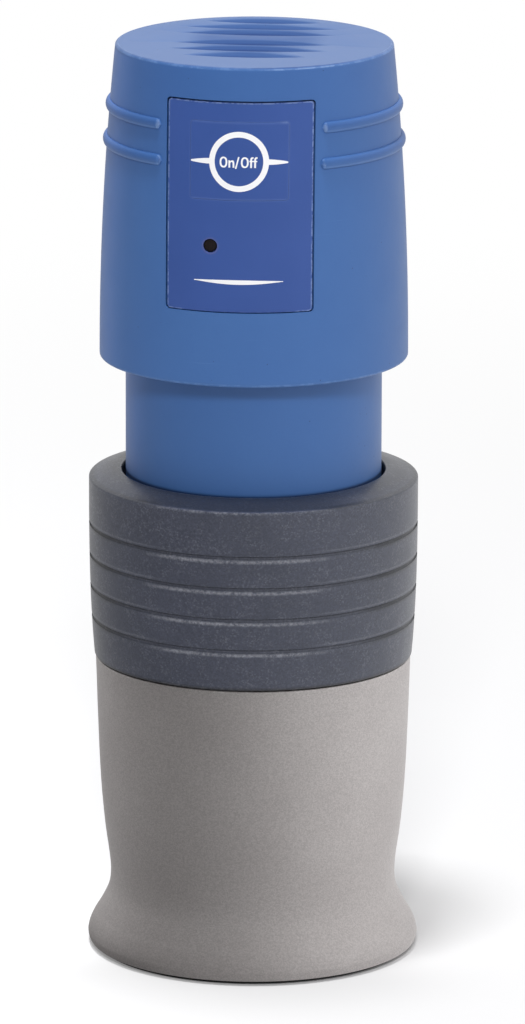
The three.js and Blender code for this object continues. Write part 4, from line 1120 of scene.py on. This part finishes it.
def joined(shapes):
    work = bmesh.new()
    for shape in shapes:
        work.from_mesh(shape.data)
        if shape is not shapes[0]:
            bpy.data.objects.remove(shape)
    work.to_mesh(shapes[0].data)
    work.free()
    return shapes[0]


def keyMarks():
    middle, inset = marks["height"], key["inset"] - marks["lift"]
    outer, inner = (circleLoop(0, middle, marks[name], 96)() for name in ("outer", "inner"))
    shapes = [printed(outer, inset, [inner])]
    start, end = marks["outer"] - 0.1, marks["tickEnd"]
    thick, thin = marks["tickThick"]
    for side in (-1, 1):
        below, above = [], []
        for x in between(start, end, 8):
            share = (x - start) / (end - start)
            half = (thick + (thin - thick) * share ** marks["tickTaper"]) / 2
            low = middle - marks["tickDroop"] * share
            below.append((side * x, low - half))
            above.append((side * x, low + half))
        tip = (side * (end + marks["tickTip"]), middle - marks["tickDroop"])
        shapes.append(printed([*below, tip, *reversed(above)], inset - marks["tickLift"]))
    return joined(shapes)


letters = {  # outlines in millimetres from the foot of each letter
    "n": ((0, 0), (0.46, 0), (0.46, 1.08), (0.60, 1.36), (0.80, 1.45), (0.98, 1.38), (1.05, 1.14), (1.05, 0), (1.51, 0),
          (1.51, 1.22), (1.42, 1.60), (1.20, 1.82), (0.96, 1.87), (0.70, 1.80), (0.46, 1.56), (0.43, 1.82), (0, 1.82)),
    "f": ((0.22, 0), (0.68, 0), (0.68, 1.48), (1.00, 1.48), (1.00, 1.82), (0.68, 1.82), (0.68, 2.06), (0.76, 2.28),
          (0.92, 2.36), (1.06, 2.34), (1.06, 2.70), (0.84, 2.75), (0.54, 2.70), (0.30, 2.46), (0.22, 2.08),
          (0.22, 1.82), (0, 1.82), (0, 1.48), (0.22, 1.48)),
    "/": ((0, -0.28), (0.38, -0.28), (1.14, 2.74), (0.76, 2.74)),
}
spacing = (("O", 0.0), ("n", 2.26), ("/", 3.92), ("O", 5.42), ("f", 7.55), ("f", 8.55))


def oval(x, z, across, along):
    def bent(value):
        return math.copysign(abs(value) ** marks["ovalBend"], value)
    angles = [2 * math.pi * index / 40 for index in range(40)]
    return [(x + across * bent(math.cos(angle)), z + along * bent(math.sin(angle))) for angle in angles]


def keyText():
    inset, foot, high = key["inset"] - marks["lift"], marks["textBottom"], marks["textHeight"] / 2
    wide = marks["ovalWidth"] / 2
    bold, thin = marks["textBold"]
    signs = []
    for sign, shift in spacing:
        left = marks["textLeft"] + shift
        if sign == "O":
            hole = oval(left + wide, foot + high, wide - bold, high - thin)
            signs.append(printed(oval(left + wide, foot + high, wide, high + marks["ovalOver"]), inset, [hole]))
        else:
            signs.append(printed([(left + x, foot + z) for x, z in letters[sign]], inset))
    return joined(signs)


def panelLine():
    thin, thick = marks["lineThick"]
    below, above = [], []
    for x in between(-marks["lineHalf"], marks["lineHalf"], 40):
        share = (x / marks["lineHalf"]) ** 2
        z = marks["lineHeight"] - marks["lineDroop"] * share
        below.append((x, z - thin - (thick - thin) * (1 - share) ** marks["lineTaper"]))
        above.append((x, z))
    return printed(below + above[::-1], panel["inset"] - marks["lift"])


place(keyMarks(), "key_ring_print", "on_off_key", "panel_foil", finish="white_print")
place(keyText(), "key_on_off_print", "on_off_key", "panel_foil", finish="white_print")
place(panelLine(), "panel_line_print", "drive", "panel_foil", finish="white_print")
print("marks printed")

# Status light and, at the rear, the cable gland, open for a lead
statusLight = {"radius": 1.62, "depth": 6.0, "dome": 0.3, "recess": 0.25}
gland = {
    "seat": 39.3,
    "flange": 7.0,
    "neck": 5.1,
    "bore": 3.3,
    "start": 34.6,
    "end": 41.7,
}


def lightLens():
    radius, dome = statusLight["radius"], statusLight["dome"]
    reach = headRadiusAt(panel["lightHeight"]) - panel["inset"]
    front = math.sqrt(reach ** 2 - lightPlace ** 2) - statusLight["recess"]
    outline = [(0, front - statusLight["depth"], 0), (radius, front - statusLight["depth"], 0)]
    for angle in between(0, math.pi / 2, 8):
        outline.append((radius * math.cos(angle), front - dome * (1 - math.sin(angle)), 0))
    return laidDown(turned(outline, segments=40), lightPlace, panel["lightHeight"])


def cableGland():
    seat, start, end = gland["seat"], gland["start"], gland["end"]
    bore, neck, flange = gland["bore"], gland["neck"], gland["flange"]
    outline = [
        (bore, start, 0.3), (neck + 0.3, start, 0.4), (neck + 0.3, start + 0.8, 0.3), (neck, start + 1.2, 0.2),
        (neck, seat, 0.2), (flange, seat, 0.3), (flange, seat + 1.1, 0.5), (flange - 1.5, seat + 1.5, 0.3),
        (flange - 1.7, end - 0.4, 0.3), (bore + 0.9, end, 0.4), (bore, end - 0.5, 0.3),
    ]
    return laidDown(turned(softened(outline, fade=0.3), segments=96), z=head["glandHeight"], front=False)


place(lightLens(), "light_lens", "drive", "dark_lens", "status_light")
place(cableGland(), "gland_grommet", "drive", "rubber", "cable_gland")
print("light and gland made")

# Neck and the slotted ring between neck and head
neck = {"radius": 33.0, "wall": 2.5, "bottom": 90.3, "top": 166.4, "flange": (36.4, 162.2, 164.7)}
vents = {"count": 48, "inner": 33.3, "outer": 36.4, "bottom": 159.4, "top": 161.9, "slot": (1.5, 1.2)}


def neckHousing():
    radius, foot, top = neck["radius"], neck["bottom"], neck["top"]
    inner = radius - neck["wall"]
    reach, low, high = neck["flange"]
    outline = [
        (inner, foot, 0.3), (radius, foot, 0.6), *[(radius, z) for z in between(foot + 3, low - 2, 10)],
        (radius, low, 0.8), (reach, low, 0.2), (reach, high, 0.2), (radius, high), (radius, top, 0.2),
        (inner, top, 0.2),
    ]
    return turned(softened(outline), segments=192)


def ventRing():
    low, high, inner, outer = vents["bottom"], vents["top"], vents["inner"], vents["outer"]
    outline = [(inner, low, 0.3), (outer, low, 0.3), (outer, high), (inner, high)]
    ring = turned(softened(outline, fade=0.3), segments=192)
    slot = block(*vents["slot"], low - 1, high + 1, middle=(inner + outer) / 2)
    return carved(ring, circles.grown(slot, "black_plastic", {"Count": vents["count"]}))


place(neckHousing(), "neck_tube", "drive", "head_plastic", "neck_housing")
place(ventRing(), "vent_slots", "drive", "black_plastic", "vent_ring")
print("neck made")

# Base shell, its plate, foot ring and screws
base = {
    "side": (
        (42.9, 3.4), (42.45, 5.2), (41.4, 7.4), (40.15, 9.4), (38.6, 12.3), (37.4, 15.3), (37.0, 18.4), (37.05, 21.4),
        (37.5, 25.4), (38.35, 31.4), (39.15, 39.4), (39.7, 47.4), (40.05, 55.4), (40.35, 63.4), (40.6, 71.4),
        (40.8, 77.7),
    ),
    "toe": 41.9,
    "toeTurn": (0.25, 1.4),
    "foot": 1.0,
    "top": 77.7,
    "wall": 2.6,
    "walled": (7, 71),
    "spigot": (38.4, 36.0, 83.4),
    "shelf": (3.3, 3.7, 3.0),
    "underShelf": (38.2, 6.0),
    "innerFoot": 34.4,
    "fit": 0.25,
    "plate": (40.9, 1.0, 4.0),
    "plateGrooves": ((14.0, 18.0, 0.6, 0.5), (33.5, 35.8, 0.4, 0.4)),
    "ring": (35.4, 40.6, 0.0, 1.0),
    "ringGroove": (0.8, 0.5, 0.3),
    "screwCircle": 31.0,
    "screwHole": (3.0, 2.0, 1.8),
    "screwSeat": 2.7,
    "screwCount": 3,
}
screw = {
    "radius": 1.5,
    "headRadius": 2.7,
    "headHeight": 1.4,
    "pitch": 0.8,
    "crest": 0.12,
    "slotWidth": 0.75,
    "slotShare": 1.3,
    "slotDepth": 0.62,
}


def flowing(points, steps=5):  # a smooth line through points
    spots = [Vector(point) for point in points]
    spots = [spots[0] * 2 - spots[1], *spots, spots[-1] * 2 - spots[-2]]
    line = []
    for a, b, c, d in zip(spots, spots[1:], spots[2:], spots[3:]):
        for step in range(steps):
            t = step / steps
            bend, twist = a * 2 - b * 5 + c * 4 - d, b * 3 - a - c * 3 + d
            line.append((b * 2 + (c - a) * t + bend * t * t + twist * t ** 3) / 2)
    return [(point.x, point.y) for point in [*line, spots[-2]]]


def baseShell():
    side = flowing(base["side"])
    low, toe = base["foot"], base["toe"]
    outer, inner, top = base["spigot"]
    plateReach, _, plateTop = base["plate"]
    drop, width, depth = base["shelf"]
    shelf = top - drop
    hollow, fall = base["underShelf"]
    seat = plateReach + base["fit"]
    reach, height = side[0]
    turns = between(*base["toeTurn"], 5)
    rounded = [(toe + (reach - toe) * math.sin(turn), height - (height - low) * math.cos(turn)) for turn in turns]
    walled = [(radius - base["wall"], z) for radius, z in reversed(side) if base["walled"][0] < z < base["walled"][1]]
    outline = [
        (seat, low, 0.15), (toe, low), *rounded, *side[:-1], (*side[-1], 0.35), (outer, base["top"]),
        (outer, top, 0.4), (inner, top, 0.4), (inner, shelf), (inner - width, shelf, 0.3),
        (inner - width, shelf - depth), (hollow, shelf - fall), *walled, (base["innerFoot"], plateTop + 0.3),
        (seat, plateTop + 0.3),
    ]
    return turned(softened(outline, fade=0.7), segments=224)


def threaded(radius, length):  # the outline of a screw's thread, and how it winds
    pitch, crest = screw["pitch"], screw["crest"]
    count = int((length - 1.6) / (pitch / 4))
    outline = [(radius, 0, 0), (radius, 0.5, 0)]
    outline += [(radius - crest, 0.6 + index * pitch / 4, 0) for index in range(count)]
    outline += [(radius - 0.5, length - 0.4, 0), (0, length, 0)]

    def wave(angle, reach, height):
        if not 0.55 < height < length - 1 or reach < radius - 0.2:
            return 0.0
        share = (height / pitch - angle / (2 * math.pi)) % 1
        return crest * 2 * abs(share * 2 - 1) - crest
    return outline, wave


def screwShape(length):  # head down at zero, thread upwards
    wide, high = screw["headRadius"], screw["headHeight"]
    outline, wave = threaded(screw["radius"], length)
    cap = [(0, -high, 0), (wide - 0.5, -high, 0), (wide - 0.15, -high + 0.16, 1), (wide, -high + 0.5, 0)]
    shape = turned([*cap, (wide, -0.1, 0), (wide - 0.1, 0, 0), *outline], 36, wave)
    sides = (screw["slotWidth"], wide * screw["slotShare"])
    foot = high * screw["slotDepth"] - high
    return carved(shape, *(block(long, across, -high - 1, foot) for long, across in (sides, sides[::-1])))


def screwSet(circle, under, length, seed):
    shape = moved(screwShape(length), matrix=Matrix.Rotation(0.35 * seed, 4, "Z"))
    return circles.grown(moved(shape, circle, 0, under), "steel", {"Count": 3, "Seed": seed})


def basePlate():
    reach, low, high = base["plate"]
    outline = [(0, low, 0)]
    for start, end, slope, depth in base["plateGrooves"]:
        floor = low + depth
        outline += [(start, low, 0.2), (start + slope, floor, 0.2), (end - slope, floor, 0.2), (end, low, 0.2)]
    outline += [(reach, low, 0.3), (reach, high), (0, high)]
    wide, deep, narrow = base["screwHole"]
    steps = [(0, low - 1), (wide, low - 1), (wide, low + deep), (narrow, low + deep), (narrow, high + 1), (0, high + 1)]
    hole = moved(turned([(*step, 0) for step in steps], segments=40), base["screwCircle"])
    holes = circles.grown(hole, "black_plastic", {"Count": base["screwCount"]})
    return carved(turned(softened(outline, fade=0.3), segments=192), holes)


def footRing():
    inner, outer, low, high = base["ring"]
    middle = (inner + outer) / 2
    wide, narrow, deep = base["ringGroove"]
    outline = [
        (inner, low, 0.3), (middle - wide, low, 0.1), (middle - narrow, low + deep), (middle + narrow, low + deep),
        (middle + wide, low, 0.1), (outer, low, 0.3), (outer, high, 0.1), (inner, high, 0.1),
    ]
    return turned(softened(outline, fade=0.2, steps=3), segments=192)


place(baseShell(), "base_body", "base", "base_paint", "base_shell", angle=24)
place(basePlate(), "base_floor", "base", "black_plastic", "base_plate")
place(footRing(), "foot_pad", "base", "rubber", "foot_ring")
baseScrews = screwSet(base["screwCircle"], base["screwSeat"], length=10, seed=2)
place(baseScrews, "base_fixing_screws", "base", "steel", "base_screw_1", "base_screw_2", "base_screw_3")
print("base made")


# Grip collar
def collarRadiusAt(height):
    share = (collar["top"] - height) / (collar["top"] - collar["bottom"])
    return collar["radius"] - collar["taper"] * share ** 3


def collarGrooves():
    width, drop = collar["grooveWidth"], collar["topDrop"]
    middle = collar["top"] - drop
    under, over = middle - width / 2, middle + width / 2
    apex = under + width * collar["apexShare"]
    wall = collarRadiusAt(middle)
    deep = wall - collar["grooveDepth"]
    profile = [(wall + 0.02, under, 0.4), (deep, apex - 0.08, 0.1), (deep, apex + 0.08, 0.1), (wall + 0.02, over, 0.12)]
    cutter = [(wall + 2, under - 0.8, 0), *softened(profile, fade=0.05, steps=3), (wall + 2, over + 2.0, 0)]
    sizes = {
        "Count": collar["grooveCount"], "Pitch": collar["groovePitch"], "First drop": drop,
        "Height": collar["top"] - collar["bottom"], "Taper": collar["taper"] / collar["radius"],
    }
    return grooves.grown(turned([(radius, z, 0.0) for radius, z, _ in cutter], segments=224), "collar_plastic", sizes)


def gripCollar():
    low, high, rim, bore = collar["bottom"], collar["top"], collar["rimTop"], collar["bore"]
    rebate, rebateTop = collar["rebate"]
    outline = [(rebate, low, 0.2), (collarRadiusAt(low), low, 0.5)]
    outline += [(collarRadiusAt(z), z) for z in between(low + 1.5, high - 1.2, 40)]
    outline += [(collar["radius"], high, 0.45), *collar["shoulder"], (bore + 0.3, rim, 0.3), (bore, rim - 0.4, 0.2)]
    outline += [(bore, z) for z in between(rim - 3, rebateTop + 2, 6)]
    outline += [(bore, rebateTop, 0.3), (rebate, rebateTop)]
    return carved(turned(softened(outline), segments=224), collarGrooves())


place(gripCollar(), "collar_grip", "base", "collar_plastic", "grip_collar", angle=24)
print("collar made")

# What the collar hides: holder, beaker and its hard floor
beaker = {
    "radius": 28.0,
    "inner": 26.5,
    "bottom": 38.5,
    "seat": 83.7,
    "top": 86.7,
    "flange": 32.9,
    "floor": (26.2, 40.3, 43.3),
    "holder": (28.5, 30.5, 35.7, 36.2, 80.4, 83.4),
}


def beakerHolder():
    inner, outer, flange, low, seat, high = beaker["holder"]
    outline = [
        (0, low, 0), (outer, low, 0.8), (outer, seat), (flange, seat, 0.2), (flange, high, 0.4), (inner, high, 0.6),
        *[(inner, z) for z in (70, 58, 46)], (inner, low + 2, 0.3), (0, low + 2),
    ]
    return turned(softened(outline), segments=144)


def millingBeaker():
    low, seat, high = beaker["bottom"], beaker["seat"], beaker["top"]
    outer, inner, flange = beaker["radius"], beaker["inner"], beaker["flange"]
    outline = [
        (0, low, 0), (outer, low, 2.0), *[(outer, z) for z in (50, 60, 70)], (outer, seat, 0.4), (flange, seat, 0.4),
        (flange, high, 0.5), (inner + 1.2, high, 0.1), (inner, high - 0.9, 0.3), *[(inner, z) for z in (72, 62, 52)],
        (inner, low + 1.5, 0.3), (0, low + 1.5),
    ]
    return turned(softened(outline, fade=0.5), segments=176)


def beakerFloor():
    reach, low, high = beaker["floor"]
    outline = [(0, low), (reach, low, 0.3), (reach, high, 0.4), (reach - 6, high), (0, high)]
    return turned(softened(outline, fade=0.4), segments=144)


place(beakerHolder(), "holder_cup", "base", "black_plastic", "beaker_holder")
place(millingBeaker(), "beaker_cup", "beaker", "steel", "milling_beaker")
place(beakerFloor(), "beaker_base_disc", "beaker", "hard_steel", "beaker_floor", finish="ground_steel")
print("beaker made")

# Chamber lid with its seals and screws
lid = {
    "bottom": 87.0,
    "top": 90.0,
    "radius": 32.1,
    "spigot": (26.0, 22.0, 82.0),
    "hub": (10.3, 8.3, 81.0),
    "pocketTop": 85.6,
    "bore": 4.6,
    "sealRadius": 25.1,
    "sealSection": 1.1,
    "sealFit": (0.15, 0.3),
    "screwCircle": 16.15,
    "screwHole": 1.8,
    "screwSink": 0.3,
    "pin": (27.6, 135.0, 1.3),
    # the shaft's lip seal: radius, height above the hub's foot, rounding
    "lip": ((4.15, 0.8, 0.2), (5.2, 1.5, 0.2), (6.4, 0.3, 0.3), (8.0, 0.3, 0.3), (8.0, 4.3, 0.3), (4.3, 4.3, 0.2)),
}


def chamberLid():
    low, high, top, bore = lid["bottom"], lid["top"], lid["pocketTop"], lid["bore"]
    outer, inner, foot = lid["spigot"]
    hub, pocket, hubLow = lid["hub"]
    middle = (low + foot) / 2
    beside, behind = lid["sealFit"]
    half, deep = lid["sealSection"] + beside, lid["sealRadius"] - lid["sealSection"] - behind
    outline = [
        (pocket, hubLow, 0.25), (hub, hubLow, 0.5), (hub, low, 0.6), (inner, low, 0.8), (inner, foot, 0.3),
        (outer, foot, 0.6), (outer, middle - half, 0.15), (deep, middle - half), (deep, middle + half),
        (outer, middle + half, 0.15), (outer, low), (lid["radius"], low, 0.3), (lid["radius"], high, 0.3),
        (bore, high), (bore, top), (pocket, top),
    ]
    body = turned(softened(outline, fade=0.4, steps=4), segments=176)
    hole = moved(cylinder(lid["screwHole"], low - 2, high + 1, 32), lid["screwCircle"])
    holes = circles.grown(hole, "cast_aluminium", {"Count": 3})
    circle, degrees, radius = lid["pin"]
    turn = math.radians(degrees)
    pinHole = moved(cylinder(radius, low - 2, high + 1, 32), circle * math.cos(turn), circle * math.sin(turn))
    return carved(body, holes, pinHole)


def roundSeal():
    section, height = lid["sealSection"], (lid["bottom"] + lid["spigot"][2]) / 2
    angles = [2 * math.pi * step / 20 for step in range(20)]
    ring = around(lid["sealRadius"], height, section, section, angles)
    return turned([(*spot, 0.0) for spot in ring], segments=160)


def shaftSeal():
    outline = [(radius, lid["hub"][2] + rise, rounding) for radius, rise, rounding in lid["lip"]]
    return turned(softened(outline, fade=0.2, steps=3), segments=72)


place(chamberLid(), "lid_disc", "drive", "steel", "chamber_lid")
place(roundSeal(), "lid_seal_ring", "drive", "rubber", "lid_seal")
place(shaftSeal(), "shaft_lip_seal", "drive", "rubber", "shaft_seal")
lidScrews = screwSet(lid["screwCircle"], lid["bottom"] - lid["screwSink"], length=7, seed=3)
place(lidScrews, "lid_fixing_screws", "drive", "steel", "lid_screw_1", "lid_screw_2", "lid_screw_3")
print("lid made")

# Rotor: shaft, beater and nut
shaft = {"foot": (2.5, 49.4), "body": (4.0, 59.4), "neck": (3.0, 169.1), "end": 179.4}
beater = {
    "reach": 21.0,
    "widths": (10.0, 6.5),
    "bottom": 55.1,
    "blade": 3.0,
    "bevel": 0.95,
    "hub": (7.0, 54.1, 59.1),
    "bore": 2.7,
    "nut": (8.0, 50.2, 53.8),
    "nutBore": 2.6,
    "nutChamfer": (0.7, 0.3, 0.55),
}


def rotorShaft():
    thin, low = shaft["foot"]
    thick, step = shaft["body"]
    narrow, top = shaft["neck"]
    outline = [
        (0, low), (thin, low, 0.5), *[(thin, z) for z in (52, 55, 58)], (thin, step), (thick, step, 0.3),
        *[(thick, z) for z in (70, 85, 100, 125, 150)], (thick, top, 0.2), (narrow, top), (narrow, shaft["end"], 0.4),
        (0, shaft["end"]),
    ]
    return turned(softened(outline, fade=0.4), segments=48)


def beaterBlade():
    reach, bevel, low, high = beater["reach"], beater["bevel"], beater["bottom"], beater["bottom"] + beater["blade"]
    root, tip = (width / 2 for width in beater["widths"])
    side = [(reach, -tip), (reach / 2, -(root + tip) / 2), (0, -root), (-reach / 2, -(root + tip) / 2), (-reach, -tip)]
    outline = side + [(-x, -y) for x, y in side]
    count = len(outline)
    points, faces = [], []
    for z, inset in ((low, bevel), (low + bevel, 0.0), (high - bevel, 0.0), (high, bevel)):
        points += [(x - math.copysign(inset * 0.8, x) * (x != 0), y - math.copysign(inset, y), z) for x, y in outline]
    for start in (0, count, 2 * count):
        for index in range(count):
            after = (index + 1) % count
            faces.append((start + index, start + after, start + count + after, start + count + index))
    faces += [tuple(range(count)), tuple(range(3 * count, 4 * count))]
    blade = addObject("blade", meshFrom("blade", points, faces))
    radius, hubLow, hubHigh = beater["hub"]
    outline = [(0, hubLow), (radius, hubLow, 0.5), (radius, hubHigh, 0.5), (0, hubHigh)]
    carved(blade, turned(softened(outline, fade=0.3), segments=72), operation="UNION")
    return carved(blade, cylinder(beater["bore"], hubLow - 1, hubHigh + 1, 48))


def beaterNut():
    flats, low, high = beater["nut"]
    corner = flats / math.sqrt(3)
    inward, outward, drop = beater["nutChamfer"]
    nut = cylinder(corner, low, high, 6)
    outline = [(0, low), (corner - inward, low), (corner + outward, low + drop), (corner + outward, high - drop)]
    outline += [(corner - inward, high), (0, high)]
    carved(nut, turned([(*point, 0) for point in outline], segments=96), operation="INTERSECT")
    return carved(nut, cylinder(beater["nutBore"], low - 1, high + 1, 40))


place(rotorShaft(), "shaft_rod", "rotor", "steel", "rotor_shaft", finish="ground_steel")
place(beaterBlade(), "beater_blade", "rotor", "hard_steel", "beater", finish="ground_steel", angle=20)
place(beaterNut(), "beater_lock_nut", "rotor", "steel", "beater_nut", angle=20)
print("rotor's lower end made")

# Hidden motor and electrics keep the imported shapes
packed = {
    "black_plastic": ("key_switch", "power_triac", "terminal_block", "motor_bracket_upper", "interlock_switch",
                      "cooling_fan"),
    "cast_aluminium": ("motor_bracket_lower",),
    "steel": ("bearing_lower", "bearing_upper", "tie_screw_front", "tie_screw_rear", "brush_spring_right",
              "brush_spring_left", "interlock_pin", "interlock_spring", "board_screw_1", "board_screw_2",
              "board_screw_3", "board_screw_4"),
    "hard_steel": ("field_core", "armature_core"),
    "copper": ("field_coil_right", "field_coil_left", "armature_winding", "commutator"),
    "brass": ("brush_holder_right", "brush_holder_left"),
    "carbon": ("carbon_brush_right", "carbon_brush_left"),
    "rubber": ("motor_mount_ring",),
    "board_laminate": ("control_board",),
    "capacitor_case": ("suppression_capacitor",),
}
for finish, names in packed.items():
    for name in names:
        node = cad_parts[name]
        for held in node.material_slots:
            held.material = finishes[finish]
        if not node.material_slots:
            node.data.materials.append(finishes[finish])
print("nodes left as packed:", sum(map(len, packed.values())))

# Floor, background and lamps
studio = {
    "floorSize": 14.0,
    "floorTone": 0.76,
    "floorLift": (0.02, 0.26),
    "footShade": (0.13, 0.0415, 0.088),
    "shadeAhead": (0.25, 0.75),
    "farFrom": (0.22, 0.9),
    "skyRange": (0.18, 1.0),
    "skyLight": 0.67,
    "skyTurn": 138.0,
    "leftDim": 0.13,
    "lamps": (
        # name, azimuth, elevation, distance, size, power
        ("front", 6.0, 35.0, 3.4, (0.6, 0.6), 49.0),
        ("right", 100.0, 16.0, 3.0, (1.8, 2.2), 8.5),
        ("overhead", -20.0, 81.0, 2.6, (0.36, 0.36), 44.0),
    ),
}


def skyAround(tree, x, y):  # white on one side, dimmer on the other
    turn = math.radians(studio["skyTurn"])
    reach = tree.length(x, y).atLeast(0.001)
    away = 0.5 - (x * math.sin(turn) - y * math.cos(turn)) / reach * 0.5
    low, high = studio["skyRange"]
    left = (x / reach * -1).atLeast(0.0)
    return (high - away.atLeast(0.0) ** 1.5 * (high - low)) * (1 - left * studio["leftDim"])


def addFloor():  # white to the camera but for the shadow; metal mirrors the sky in it
    half, tone = studio["floorSize"] / 2, studio["floorTone"]
    mesh = bpy.data.meshes.new("floor")
    mesh.from_pydata([(-half, -half, 0), (half, -half, 0), (half, half, 0), (-half, half, 0)], [], [(0, 1, 2, 3)])
    floor = addObject("floor", mesh)
    material = bpy.data.materials.new("floor")
    tree = Tree(emptyTree(material))
    x, y, _ = tree.split(tree.node("ShaderNodeTexCoord", output="Object"))
    reach = tree.length(x, y).atLeast(0.01)
    seen = tree.node("ShaderNodeLightPath")
    mirrored = seen.also("Is Glossy Ray") + seen.also("Is Transmission Ray")
    lit = tree.node("ShaderNodeBsdfDiffuse", sockets={"Color": (tone, tone, tone * 1.01, 1)})
    low, left = studio["floorLift"]
    # the floor glows to the camera, more on its left, which paints out the object's shadow on that side
    lift = tree.node("ShaderNodeEmission", sockets={"Strength": seen * (low + (0.5 - x / reach * 0.5) ** 2.0 * left)})
    near = tree.node("ShaderNodeAddShader", sockets={0: lit, 1: lift})
    depth, inside, outside = studio["footShade"]  # soft shade in front of the foot
    shade = reach.fall(inside, outside) ** 1.5 * (y / reach * -1).rise(*studio["shadeAhead"]) * depth
    dark = tree.node("ShaderNodeBsdfDiffuse", sockets={"Color": (0, 0, 0, 1)})
    near = tree.node("ShaderNodeMixShader", sockets={0: shade, 1: near, 2: dark})
    white = tree.node("ShaderNodeEmission", sockets={"Strength": seen + mirrored * skyAround(tree, x, y)})
    share = mirrored.atLeast(seen * reach.rise(*studio["farFrom"]))
    both = tree.node("ShaderNodeMixShader", sockets={0: share, 1: near, 2: white})
    tree.node("ShaderNodeOutputMaterial", sockets={"Surface": both})
    mesh.materials.append(material)


def addWorld():  # white behind the object; it lights and is mirrored as a sky with one bright side
    world = bpy.data.worlds.new("studio")
    bpy.context.scene.world = world
    tree = Tree(emptyTree(world))
    x, y, _ = tree.split(tree.node("ShaderNodeTexCoord"))
    seen = tree.node("ShaderNodeLightPath")
    dim = 1 - seen.also("Is Diffuse Ray") * (1 - studio["skyLight"])
    strength = seen + (1 - seen) * skyAround(tree, x, y) * dim
    shown = tree.node("ShaderNodeBackground", sockets={"Color": (1, 1, 1, 1), "Strength": strength})
    tree.node("ShaderNodeOutputWorld", sockets={"Surface": shown})


def addLamps():
    aim = Vector((0, 0, head["bottom"] * mm))
    for name, azimuth, elevation, distance, size, power in studio["lamps"]:
        data = bpy.data.lights.new(name, "AREA")
        data.shape = "RECTANGLE"
        data.size, data.size_y = size
        data.energy = power
        lamp = addObject(name, data)
        lamp.visible_glossy = False  # the sky alone is mirrored
        turn, rise = math.radians(azimuth), math.radians(elevation)
        way = Vector((math.sin(turn) * math.cos(rise), -math.cos(turn) * math.cos(rise), math.sin(rise)))
        lamp.location = aim + way * distance
        lamp.rotation_euler = way.to_track_quat("Z", "Y").to_euler()


addFloor()
addWorld()
addLamps()
bpy.context.scene.view_settings.view_transform = "Standard"
print("studio lit")
